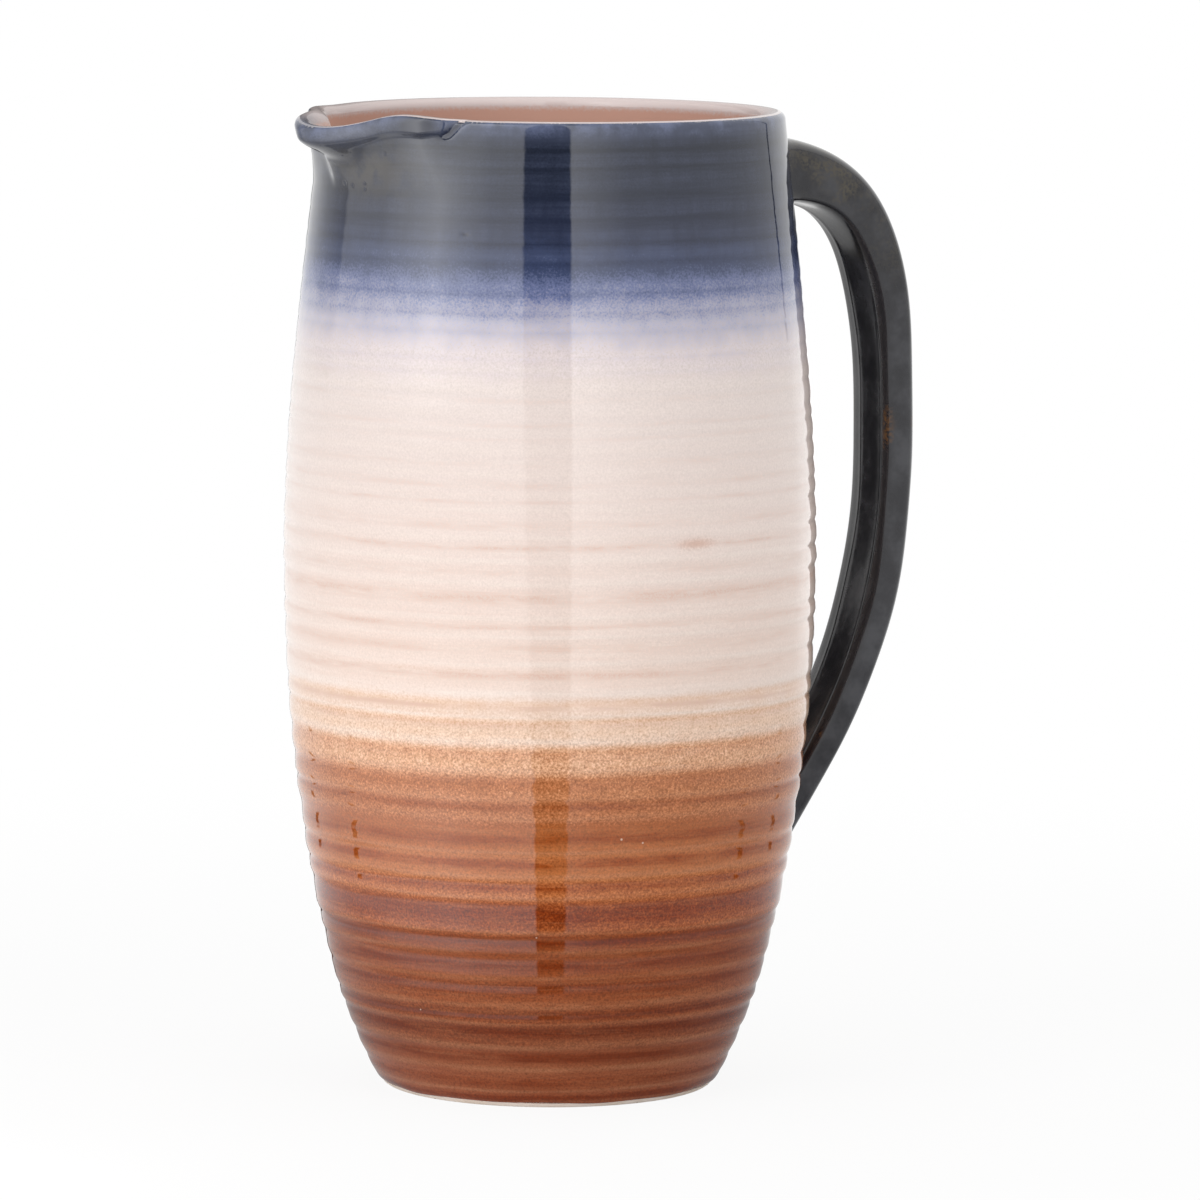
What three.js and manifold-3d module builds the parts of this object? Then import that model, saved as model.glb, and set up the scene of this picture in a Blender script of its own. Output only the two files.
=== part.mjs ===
// A hand-thrown stoneware jug with a pulled spout, a strap handle and three bands of glaze.
// Millimetres, +Z up. The origin is the middle of the flat base, where the jug stands.
// The handle points along +X and the spout along -X.

import * as THREE from 'three';
import { mergeVertices } from 'three/addons/utils/BufferGeometryUtils.js';
import Module from 'manifold-3d';

// Thrown body, measured on the clay
const BODY_HEIGHT = 249.6;
const FOOT_RADIUS = 42;
const HEEL_FLARE = 1.8;
const HEEL_HEIGHT = 2.6;
const HEEL_SLOPE = 0.48;
const FLANK_RADIUS = 55.5;
const FLANK_HEIGHT = 34;
const FLANK_SLOPE = 0.25;
const BELLY_RADIUS = 67.4;
const BELLY_HEIGHT = 140;
const RIM_RADIUS = 58.6;
const RIM_SLOPE = -0.1;
const WALL = 3.8;
const FLOOR = 6;
const INSIDE_CORNER = 14;

// Spout, pulled out of the rim with one finger
const THROAT_LENGTH = 20;
const BEAK_REACH = 12.5;
const BEAK_WIDTH = 30;
const BEAK_DROP = 2.2;
const CHEEK_REACH = 3;
const CHEEK_RISE = 0.8;
const CHEEK_OFFSET = 27;
const CHEEK_WIDTH = 20;

// Glaze coats
const GLAZE = 0.4;
const BARE_FOOT = 1.2;
const RUST_TOP = 89;
const BLUE_DIP = 53.6;
const LIP_GLAZE_ANGLE = 60;

// Throwing rings, carried by the outer faces of the rust and rose coats
const RING_PITCH = 6.7;
const RING_HEIGHT = 0.4;

// Strap handle, from its thick upper root round the grip to its thin tail
const UPPER_ROOT_DROP = 15.1;
const LOWER_ROOT_HEIGHT = 45;
const GRIP_HEIGHT = 162;
const FINGER_GAP = 25.5;
const STRAP_THICKNESS = 9.2;
const STRAP_WIDTH = 21;
const ROOT_SWELL = 6;
const ROOT_TAPER = 36;
const TAIL_THICKNESS = 6.8;
const TAIL_WIDTH = 22;
const SHOULDER_OUT = 38;
const SHOULDER_UP = 46;
const GRIP_DOWN = 46;
const TAIL_UP = 44;
const TAIL_OUT = 34;

// Lutes, the softened clay between the strap's ends and the wall
const UPPER_LUTE_LENGTH = 13;
const LOWER_LUTE_LENGTH = 42;
const LUTE_STANDOFF = 7;
const LUTE_FLARE = 1;
const UPPER_ROOT_DEPTH = 5;
const LOWER_ROOT_DEPTH = 8;
const SEAT_GAP = 0.3;

// Facets
const FACETS = 40;
const FACET_CROWDING = 0.45;
const CLAY_ROW = 21;
const THROAT_ROW = 4.5;
const LIP_STEPS = 6;
const CORNER_STEPS = 4;
const STRAP_SIDES = 12;
const STRAP_ROW = 10;
const LUTE_ROW = 4.5;

const wasm = await Module();
wasm.setup();

// Evenly spaced values from one end to the other, about a step apart
function spread(from, to, step) {
  const count = Math.max(1, Math.round(Math.abs(to - from) / step));
  return Array.from({ length: count + 1 }, (_, i) => THREE.MathUtils.lerp(from, to, i / count));
}

// A smooth stretch of wall between two heights, given the radius and the slope at each end
function wallStretch(low, lowRadius, lowSlope, high, highRadius, highSlope) {
  const third = (high - low) / 3;
  return new THREE.CubicBezierCurve(
    new THREE.Vector2(lowRadius, low),
    new THREE.Vector2(lowRadius + lowSlope * third, low + third),
    new THREE.Vector2(highRadius - highSlope * third, high - third),
    new THREE.Vector2(highRadius, high),
  );
}

const heelRadius = FOOT_RADIUS + HEEL_FLARE;
const bevelSlope = HEEL_FLARE / HEEL_HEIGHT;
const wallStretches = [
  wallStretch(0, FOOT_RADIUS, bevelSlope, HEEL_HEIGHT, heelRadius, bevelSlope),
  wallStretch(HEEL_HEIGHT, heelRadius, HEEL_SLOPE, FLANK_HEIGHT, FLANK_RADIUS, FLANK_SLOPE),
  wallStretch(FLANK_HEIGHT, FLANK_RADIUS, FLANK_SLOPE, BELLY_HEIGHT, BELLY_RADIUS, 0),
  wallStretch(BELLY_HEIGHT, BELLY_RADIUS, 0, BODY_HEIGHT, RIM_RADIUS, RIM_SLOPE),
];

// Outer radius of the clay at a height
function wallRadius(height) {
  const stretch = wallStretches.findLast((each) => height >= each.v0.y);
  return stretch.getPoint((height - stretch.v0.y) / (stretch.v3.y - stretch.v0.y)).x;
}

// How far the spout pulls the wall outwards and upwards, at an angle from the beak and at a height
function spoutPull(turn, height) {
  const lift = THREE.MathUtils.smoothstep(height, BODY_HEIGHT - THROAT_LENGTH, BODY_HEIGHT);
  const along = Math.abs(turn) * RIM_RADIUS;
  const beak = Math.exp(-((2 * along / BEAK_WIDTH) ** 2));
  const cheek = Math.exp(-(((along - CHEEK_OFFSET) / (CHEEK_WIDTH / 2)) ** 2));
  return {
    out: lift * (BEAK_REACH * beak + CHEEK_REACH * cheek),
    up: lift * (CHEEK_RISE * cheek - BEAK_DROP * beak),
  };
}

// Corners of the facets, split along one diagonal whichever way an outline runs, so that coats fit the clay
function facetCorners(outline) {
  const corners = [];
  for (let side = 0; side < FACETS; side += 1) {
    for (let row = 0; row < outline.length - 1; row += 1) {
      const here = side * outline.length + row;
      const next = here + outline.length;
      const upwards = outline[row + 1][1] >= outline[row][1];
      if (upwards) corners.push(here, next, here + 1, next + 1, here + 1, next);
      else corners.push(here, next, next + 1, here, next + 1, here + 1);
    }
  }
  return corners;
}

// Turns an outline of [radius, height] pairs round the jug's axis, with the facets closest at the spout
function turned(outline, pull = spoutPull) {
  const points = outline.map(([radius, height]) => new THREE.Vector2(radius, height));
  const geometry = new THREE.LatheGeometry(points, FACETS);
  geometry.setIndex(facetCorners(outline));
  geometry.rotateX(Math.PI / 2);
  const places = geometry.getAttribute('position');
  for (let i = 0; i < places.count; i += 1) {
    const height = places.getZ(i);
    const even = Math.atan2(places.getY(i), -places.getX(i));
    const turn = even - FACET_CROWDING * Math.sin(even);
    const { out, up } = pull(turn, height);
    const radius = Math.hypot(places.getX(i), places.getY(i)) + out;
    places.setXYZ(i, -radius * Math.cos(turn), radius * Math.sin(turn), height + up);
  }
  return geometry;
}

// Rows of the clay wall, band by band
const roseTop = BODY_HEIGHT - BLUE_DIP;
const throatHeight = BODY_HEIGHT - THROAT_LENGTH;
const lipHeight = BODY_HEIGHT - WALL / 2;
const lipRadius = wallRadius(lipHeight) - WALL / 2;
const rustRows = spread(HEEL_HEIGHT, RUST_TOP, CLAY_ROW);
const roseRows = spread(RUST_TOP, roseTop, CLAY_ROW);
const throatRows = spread(throatHeight, lipHeight, THROAT_ROW);
const blueRows = [...spread(roseTop, throatHeight, CLAY_ROW), ...throatRows.slice(1)];
const insideFoot = FLOOR + INSIDE_CORNER;
const insideRows = [...spread(insideFoot, throatHeight, CLAY_ROW), ...throatRows.slice(1)];

// Outer face of the wall through some rows, at a distance off the clay
function outerFace(rows, off) {
  return rows.map((height) => [wallRadius(height) + off, height]);
}

// Outer face with throwing rings: a crest between every two hollows
function ringedFace(low, high) {
  const halves = 2 * Math.max(1, Math.round((high - low) / RING_PITCH));
  return Array.from({ length: halves + 1 }, (_, i) => {
    const height = THREE.MathUtils.lerp(low, high, i / halves);
    return [wallRadius(height) + GLAZE + (i % 2) * RING_HEIGHT, height];
  });
}

// Round lip from one angle to another: 0 faces outwards, 180 faces inwards
function lipFace(from, to, off) {
  return spread(from, to, 180 / LIP_STEPS).map((degrees) => {
    const angle = THREE.MathUtils.degToRad(degrees);
    const round = WALL / 2 + off;
    return [lipRadius + round * Math.cos(angle), lipHeight + round * Math.sin(angle)];
  });
}

// Inner face from the middle of the floor, round the corner and up to the lip
function innerFace(off) {
  const round = INSIDE_CORNER - off;
  const middle = wallRadius(insideFoot) - WALL - INSIDE_CORNER;
  const corner = spread(-Math.PI / 2, 0, Math.PI / 2 / CORNER_STEPS).map((angle) => [
    middle + round * Math.cos(angle),
    insideFoot + round * Math.sin(angle),
  ]);
  const wall = insideRows.slice(1).map((height) => [wallRadius(height) - WALL - off, height]);
  return [[0, FLOOR + off], ...corner, ...wall];
}

// Closes a band of glaze between its outer face and the clay, both listed upwards
function band(outer, clay) {
  return [...outer, ...clay.toReversed(), outer[0]];
}

// Clay body

const clayOutline = [
  [0, 0],
  [FOOT_RADIUS, 0],
  ...outerFace([BARE_FOOT, ...rustRows, ...roseRows.slice(1), ...blueRows.slice(1)], 0),
  ...lipFace(0, 180, 0).slice(1, -1),
  ...innerFace(0).toReversed(),
];

// Coats of glaze

const innerOutline = [
  ...innerFace(0),
  ...lipFace(180, LIP_GLAZE_ANGLE, 0).slice(1),
  ...lipFace(LIP_GLAZE_ANGLE, 180, GLAZE).slice(0, -1),
  ...innerFace(GLAZE).toReversed(),
];
const rustOutline = band(
  [...outerFace([BARE_FOOT], GLAZE), ...ringedFace(HEEL_HEIGHT, RUST_TOP)],
  outerFace([BARE_FOOT, ...rustRows], 0),
);
const roseOutline = band(ringedFace(RUST_TOP, roseTop), outerFace(roseRows, 0));
const blueOutline = band(
  [...outerFace(blueRows, GLAZE), ...lipFace(0, LIP_GLAZE_ANGLE, GLAZE).slice(1)],
  [...outerFace(blueRows, 0), ...lipFace(0, LIP_GLAZE_ANGLE, 0).slice(1)],
);

// Strap handle: a path in the XZ plane and a rounded section that changes along it

const upperRootHeight = BODY_HEIGHT - UPPER_ROOT_DROP;
const upperRoot = new THREE.Vector3(wallRadius(upperRootHeight) - UPPER_ROOT_DEPTH, 0, upperRootHeight);
const grip = new THREE.Vector3(BELLY_RADIUS + FINGER_GAP + STRAP_THICKNESS / 2, 0, GRIP_HEIGHT);
const lowerRoot = new THREE.Vector3(wallRadius(LOWER_ROOT_HEIGHT) - LOWER_ROOT_DEPTH, 0, LOWER_ROOT_HEIGHT);

function shifted(point, out, up) {
  return new THREE.Vector3(point.x + out, 0, point.z + up);
}

const strapPath = new THREE.CurvePath();
strapPath.add(new THREE.CubicBezierCurve3(
  upperRoot, shifted(upperRoot, SHOULDER_OUT, 0), shifted(grip, 0, SHOULDER_UP), grip));
strapPath.add(new THREE.CubicBezierCurve3(
  grip, shifted(grip, 0, -GRIP_DOWN), shifted(lowerRoot, TAIL_OUT, TAIL_UP), lowerRoot));
const strapLength = strapPath.getLength();
const tailStart = strapLength - LOWER_LUTE_LENGTH;

// Width and thickness of the section at a distance along the path, flared where the path nears the wall
function strapSize(along) {
  const taper = along / strapLength;
  const root = Math.exp(-((along / ROOT_TAPER) ** 2));
  const middle = strapPath.getPointAt(taper);
  const standoff = Math.max(0, middle.x - wallRadius(middle.z));
  const flare = 2 * LUTE_FLARE * Math.max(0, 1 - standoff / LUTE_STANDOFF) ** 2;
  return {
    width: THREE.MathUtils.lerp(STRAP_WIDTH, TAIL_WIDTH, taper) + ROOT_SWELL * root + flare,
    thickness: THREE.MathUtils.lerp(STRAP_THICKNESS, TAIL_THICKNESS, taper) + ROOT_SWELL * root + flare,
  };
}

// Corners of one section, grown by a distance all round: a rounded oblong square to the path
function strapSection(along, growth) {
  const middle = strapPath.getPointAt(along / strapLength);
  const ahead = strapPath.getTangentAt(along / strapLength);
  const outward = new THREE.Vector3(-ahead.z, 0, ahead.x);
  const { width, thickness } = strapSize(along);
  return Array.from({ length: STRAP_SIDES }, (_, k) => {
    const angle = 2 * Math.PI * (k + 0.5) / STRAP_SIDES;
    const across = Math.sign(Math.cos(angle)) * Math.sqrt(Math.abs(Math.cos(angle)));
    const through = Math.sign(Math.sin(angle)) * Math.sqrt(Math.abs(Math.sin(angle)));
    const corner = middle.clone().addScaledVector(outward, through * (thickness / 2 + growth));
    corner.y = across * (width / 2 + growth);
    return corner;
  });
}

// Joins the sections at some distances along the path into one closed piece
function lofted(rows, growth) {
  const places = rows.flatMap((along) => strapSection(along, growth));
  const corner = (row, side) => row * STRAP_SIDES + side % STRAP_SIDES;
  const last = rows.length - 1;
  const faces = [];
  for (let row = 0; row < last; row += 1) {
    for (let side = 0; side < STRAP_SIDES; side += 1) {
      faces.push(corner(row, side), corner(row, side + 1), corner(row + 1, side + 1));
      faces.push(corner(row, side), corner(row + 1, side + 1), corner(row + 1, side));
    }
  }
  for (let side = 1; side < STRAP_SIDES - 1; side += 1) {
    faces.push(corner(0, 0), corner(0, side + 1), corner(0, side));
    faces.push(corner(last, 0), corner(last, side), corner(last, side + 1));
  }
  const geometry = new THREE.BufferGeometry().setFromPoints(places);
  geometry.setIndex(faces);
  return geometry;
}

const upperRows = spread(0, UPPER_LUTE_LENGTH, LUTE_ROW);
const strapRows = spread(UPPER_LUTE_LENGTH, tailStart, STRAP_ROW);
const tailRows = spread(tailStart, strapLength, LUTE_ROW);
const allRows = [...upperRows, ...strapRows.slice(1), ...tailRows.slice(1)];

// Cuts: each piece becomes a solid, is cut and turns back into a geometry

function solid(geometry) {
  const bare = new THREE.BufferGeometry();
  bare.setAttribute('position', geometry.getAttribute('position'));
  bare.setIndex(geometry.getIndex());
  const merged = mergeVertices(bare);
  const corners = Array.from(merged.getIndex().array);
  const triangles = [];
  for (let i = 0; i < corners.length; i += 3) {
    const triangle = corners.slice(i, i + 3);
    if (new Set(triangle).size === 3) triangles.push(...triangle);
  }
  return new wasm.Manifold(new wasm.Mesh({
    numProp: 3,
    vertProperties: new Float32Array(merged.getAttribute('position').array),
    triVerts: new Uint32Array(triangles),
  }));
}

function cut(piece, ...tools) {
  const left = tools.reduce((rest, tool) => rest.subtract(tool), piece).getMesh();
  const geometry = new THREE.BufferGeometry();
  geometry.setAttribute('position', new THREE.BufferAttribute(left.vertProperties, 3));
  geometry.setIndex(new THREE.BufferAttribute(left.triVerts, 1));
  return geometry;
}

const still = () => ({ out: 0, up: 0 });
const seatOutline = [
  [0, 0],
  ...outerFace([0, BARE_FOOT, ...rustRows, ...roseRows.slice(1), ...blueRows.slice(1), BODY_HEIGHT], SEAT_GAP),
  [0, BODY_HEIGHT],
];
const seat = solid(turned(seatOutline, still));
const strapCore = solid(lofted(allRows, 0));
const rootHole = solid(lofted(allRows, GLAZE + SEAT_GAP));

// Assembly

const jug = new THREE.Group();

function place(name, geometry, color, roughness) {
  const material = new THREE.MeshStandardMaterial({ color, roughness, metalness: 0 });
  const mesh = new THREE.Mesh(geometry, material);
  mesh.name = name;
  jug.add(mesh);
}

place('clay_body', turned(clayOutline), 0xd8c9b6, 0.85);
place('inner_glaze', turned(innerOutline), 0xdcb9ac, 0.15);
place('rust_glaze', cut(solid(turned(rustOutline)), rootHole), 0x9c5636, 0.15);
place('rose_glaze', cut(solid(turned(roseOutline)), rootHole), 0xecd6cc, 0.15);
place('blue_glaze', cut(solid(turned(blueOutline)), rootHole), 0x4d556f, 0.15);
place('handle_strap', lofted(strapRows, 0), 0xd8c9b6, 0.85);
place('upper_lute', cut(solid(lofted(upperRows, 0)), seat), 0xcdbba6, 0.9);
place('lower_lute', cut(solid(lofted(tailRows, 0)), seat), 0xcdbba6, 0.9);
place('handle_glaze', cut(solid(lofted(allRows, GLAZE)), seat, strapCore), 0x24262d, 0.15);

export default jug;
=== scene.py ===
"""Looks of a hand-thrown stoneware jug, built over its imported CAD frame.

Sizes are in millimetres, +Z up, with the origin in the middle of the flat base. The handle points along +X
and the spout along -X. Meshes are written in metres. A turn is an angle round the axis from the spout.
"""

import logging
import math
from dataclasses import dataclass, field
from enum import Enum
from functools import cached_property

import bmesh
import bpy
import numpy as np
from mathutils import Matrix, Vector


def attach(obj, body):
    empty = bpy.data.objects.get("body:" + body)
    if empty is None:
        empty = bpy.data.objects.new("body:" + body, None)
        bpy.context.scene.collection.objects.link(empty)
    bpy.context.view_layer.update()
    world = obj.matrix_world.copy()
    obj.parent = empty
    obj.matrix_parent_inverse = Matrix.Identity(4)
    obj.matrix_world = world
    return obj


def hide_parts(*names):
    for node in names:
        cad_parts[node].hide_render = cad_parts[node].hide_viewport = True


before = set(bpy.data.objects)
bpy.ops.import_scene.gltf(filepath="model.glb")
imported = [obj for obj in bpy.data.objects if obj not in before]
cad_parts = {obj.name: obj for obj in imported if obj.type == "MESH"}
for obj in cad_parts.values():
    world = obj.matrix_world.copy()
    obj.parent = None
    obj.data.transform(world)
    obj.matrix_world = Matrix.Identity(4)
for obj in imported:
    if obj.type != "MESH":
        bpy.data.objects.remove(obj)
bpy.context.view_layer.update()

log = logging.getLogger("jug")

METRES = 0.001
RIM_HEIGHT = 249.6
RIM_RADIUS = 58.6

Grid = np.ndarray
Span = tuple[float, float]
Fade = tuple[Span, Span]
Knots = tuple[Span, ...]
Triple = tuple[float, float, float]
Triples = tuple[Triple, ...]
Colour = Triple
Stops = tuple[tuple[float, Colour], ...]
Fourfold = tuple[float, float, float, float]
Cloud = Fourfold
Socket = bpy.types.NodeSocket
Feed = Socket | float | Colour


class Band(Enum):
    """The three glazes on the outside of the wall, from the foot up."""

    RUST = "rust"
    ROSE = "rose"
    BLUE = "blue"


class Slot(Enum):
    """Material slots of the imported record."""

    CLAY = "clay"
    LUTE = "lute"
    INSIDE = "inner_glaze"
    RUST = "rust_glaze"
    ROSE = "rose_glaze"
    BLUE = "blue_glaze"
    HANDLE = "handle_glaze"


def smooth(low: float, high: float, value: Grid) -> Grid:
    """Ease values from 0 at the low end to 1 at the high end."""
    share = np.clip((value - low) / (high - low), 0.0, 1.0)
    return share * share * (3.0 - 2.0 * share)


def bell(value: Grid, middle: float, half_width: float) -> Grid:
    """A smooth hump, 1 at its middle and 1/e at its half width."""
    return np.exp(-(((value - middle) / half_width) ** 2))


def waves(value: Grid, terms: Triples) -> Grid:
    """Sum of sine waves, each given by its height, its rate and its start."""
    return sum(height * np.sin(rate * value + start) for height, rate, start in terms)


def scatter(number: Grid) -> Grid:
    """A fixed scatter of values from 0 to 1, the same for the same number."""
    mixed = np.sin(number * 12.9898 + 4.1) * 437.585
    return mixed - np.floor(mixed)


def along_knots(value: Grid, knots: Knots) -> Grid:
    """Values looked up on a line through knots."""
    return np.interp(value, *zip(*knots))


def spaced(low: float, high: float, step: float) -> Grid:
    """Evenly spaced values about a step apart, both ends included."""
    return np.linspace(low, high, max(1, round(abs(high - low) / step)) + 1)


def stepped(levels: tuple[float, ...], steps: tuple[float, ...]) -> tuple[Grid, Grid]:
    """Values spaced from level to level, each stretch with a step of its own.

    Args:
        levels: Where the stretches begin and end.
        steps: Distance to aim for in each stretch.

    Returns:
        The values, and the number of the last value in each stretch.
    """
    runs = [spaced(*stretch) for stretch in zip(levels, levels[1:], steps)]
    values = np.concatenate([runs[0], *(run[1:] for run in runs[1:])])
    return values, np.cumsum([len(run) - 1 for run in runs])


def running(steps: Grid) -> Grid:
    """Distances covered after each step, from 0."""
    return np.concatenate([[0.0], np.cumsum(steps)])


def bezier(t: Grid, first: Grid, second: Grid, third: Grid, last: Grid) -> Grid:
    """Points of a cubic curve with four handles."""
    near = (1 - t) ** 3 * first + 3 * (1 - t) ** 2 * t * second
    return near + 3 * (1 - t) * t ** 2 * third + t ** 3 * last


def surface_normals(points: Grid) -> Grid:
    """Normals of a grid that closes round its columns, from its neighbouring points.

    Args:
        points: Grid of points, rows by columns by 3.

    Returns:
        Unit normals in the same layout.
    """
    up = np.gradient(points, axis=0)
    sideways = np.roll(points, -1, axis=1) - np.roll(points, 1, axis=1)
    normals = np.cross(sideways, up)
    return normals / np.linalg.norm(normals, axis=-1, keepdims=True)


def placed(name: str, data: bpy.types.ID) -> bpy.types.Object:
    """Put a new object into the scene.

    Args:
        name: Name of the object.
        data: Its mesh, lamp or camera.

    Returns:
        The new object.
    """
    made = bpy.data.objects.new(name, data)
    bpy.context.scene.collection.objects.link(made)
    return made


def dress(piece: bpy.types.Object, node: str) -> None:
    """Let a piece stand for its CAD node.

    Args:
        piece: New object.
        node: CAD node that it replaces.
    """
    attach(piece, "root")
    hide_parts(node)


@dataclass
class Skin:
    """A grid of points that closes round its columns, with what the glaze needs to know at each point."""

    points: Grid
    marks: dict[str, Grid] = field(default_factory=dict)
    ring_shaped: bool = True
    creases: tuple[int, ...] = ()
    normals: Grid | None = None
    weld_metres: float = 1e-7

    def faces(self) -> Grid:
        """Join neighbouring points into faces.

        Returns:
            Vertex numbers of the faces, row by row.
        """
        rows, columns = self.points.shape[:2]
        numbers = np.arange(rows * columns).reshape(rows, columns)
        above = np.roll(numbers, -1, axis=0)
        quads = np.stack([numbers, np.roll(numbers, -1, axis=1), np.roll(above, -1, axis=1), above], axis=-1)
        return quads[:rows if self.ring_shaped else -1].reshape(-1, 4)

    def piece(self, name: str, finish: bpy.types.Material) -> bpy.types.Object:
        """Make a smooth-shaded mesh object of the grid.

        Args:
            name: Name of the new object.
            finish: Material to dress it in.

        Returns:
            The new object, linked to the scene.
        """
        quads = self.faces()
        mesh = bpy.data.meshes.new(name)
        mesh.from_pydata((self.points.reshape(-1, 3) * METRES).tolist(), [], quads.tolist())
        for mark, values in self.marks.items():
            layer = mesh.attributes.new(mark, "FLOAT", "POINT")
            layer.data.foreach_set("value", values.reshape(-1).astype(np.float32))
        mesh.polygons.foreach_set("use_smooth", np.ones(len(quads), bool))
        mesh.materials.append(finish)
        if self.creases:
            self.crease(mesh)
        if self.normals is not None:
            self.comb(mesh, quads)
        if not self.ring_shaped:
            self.gather_poles(mesh)
        log.info("%s: %d points", name, len(mesh.vertices))
        return placed(name, mesh)

    def crease(self, mesh: bpy.types.Mesh) -> None:
        """Mark the edges along the creased rows as sharp.

        Args:
            mesh: Mesh made from this grid.
        """
        ends = np.empty(2 * len(mesh.edges), np.int32)
        mesh.edges.foreach_get("vertices", ends)
        first, last = (ends.reshape(-1, 2) // self.points.shape[1]).T
        sharp = mesh.attributes.new("sharp_edge", "BOOLEAN", "EDGE")
        sharp.data.foreach_set("value", (first == last) & np.isin(first, self.creases))

    def comb(self, mesh: bpy.types.Mesh, quads: Grid) -> None:
        """Give the showing faces the whole surface's normals, so that no line shows where two coats meet.

        Args:
            mesh: Mesh made from this grid.
            quads: Vertex numbers of its faces.
        """
        showing = (len(self.normals) - 1) * self.points.shape[1]
        corners = np.zeros((len(quads), 4, 3))
        corners[:showing] = self.normals.reshape(-1, 3)[quads[:showing]]
        mesh.normals_split_custom_set(corners.reshape(-1, 3).tolist())

    def gather_poles(self, mesh: bpy.types.Mesh) -> None:
        """Weld points that lie in one place, such as a first or last row on the axis.

        Args:
            mesh: Mesh made from this grid.
        """
        work = bmesh.new()
        work.from_mesh(mesh)
        bmesh.ops.remove_doubles(work, verts=work.verts, dist=self.weld_metres)
        work.to_mesh(mesh)
        work.free()


@dataclass(frozen=True)
class ThrowingRings:
    """Ridges that the potter's fingers left round the wall, each one a little different."""

    counts: Knots = (
        (-7.0, -2.0), (5.0, 0.0), (35.0, 5.0), (109.5, 16.0), (148.5, 22.0), (204.0, 33.0), (252.0, 41.0))
    heights: Knots = (
        (2.4, 0.0), (8.0, 0.46), (60.0, 0.47), (150.0, 0.4),
        (172.0, 0.26), (212.0, 0.14), (238.0, 0.1), (245.0, 0.0))
    wander: Triples = ((0.3, 1.0, 0.6), (0.15, 2.0, 2.0), (0.075, 5.0, 0.0))
    uneven: Triples = ((0.12, 2.1, 0.0), (0.084, 3.7, 1.0))
    crest_place: float = 0.34
    roundness: float = 1.8
    lowest_crest: float = 0.75
    crest_range: float = 0.5
    ripple: float = 0.06
    ripple_rate: float = 17.3
    ripple_drift: Triples = ((2.0, 1.7, 0.0),)

    def count(self, turn: Grid, height: Grid) -> Grid:
        """Rings below a place on the wall, a whole number at each crest."""
        even = along_knots(height + waves(turn, self.wander), self.counts)
        return even + waves(even, self.uneven)

    def shape(self, count: Grid) -> Grid:
        """Share of the crest at a place.

        Args:
            count: Rings below that place.

        Returns:
            0 in a hollow to about 1 on a crest.
        """
        ring = np.floor(count + self.crest_place)
        above = count - ring
        away = np.maximum(above / (1.0 - self.crest_place), -above / self.crest_place)
        crest = (1.0 - away ** self.roundness) * (self.lowest_crest + self.crest_range * scatter(ring))
        return crest + self.ripple * np.sin(self.ripple_rate * count + waves(count, self.ripple_drift))

    def relief(self, turn: Grid, height: Grid) -> Grid:
        """How far the rings stand out from the coat, in millimetres."""
        return self.shape(self.count(turn, height)) * along_knots(height, self.heights)


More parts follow.
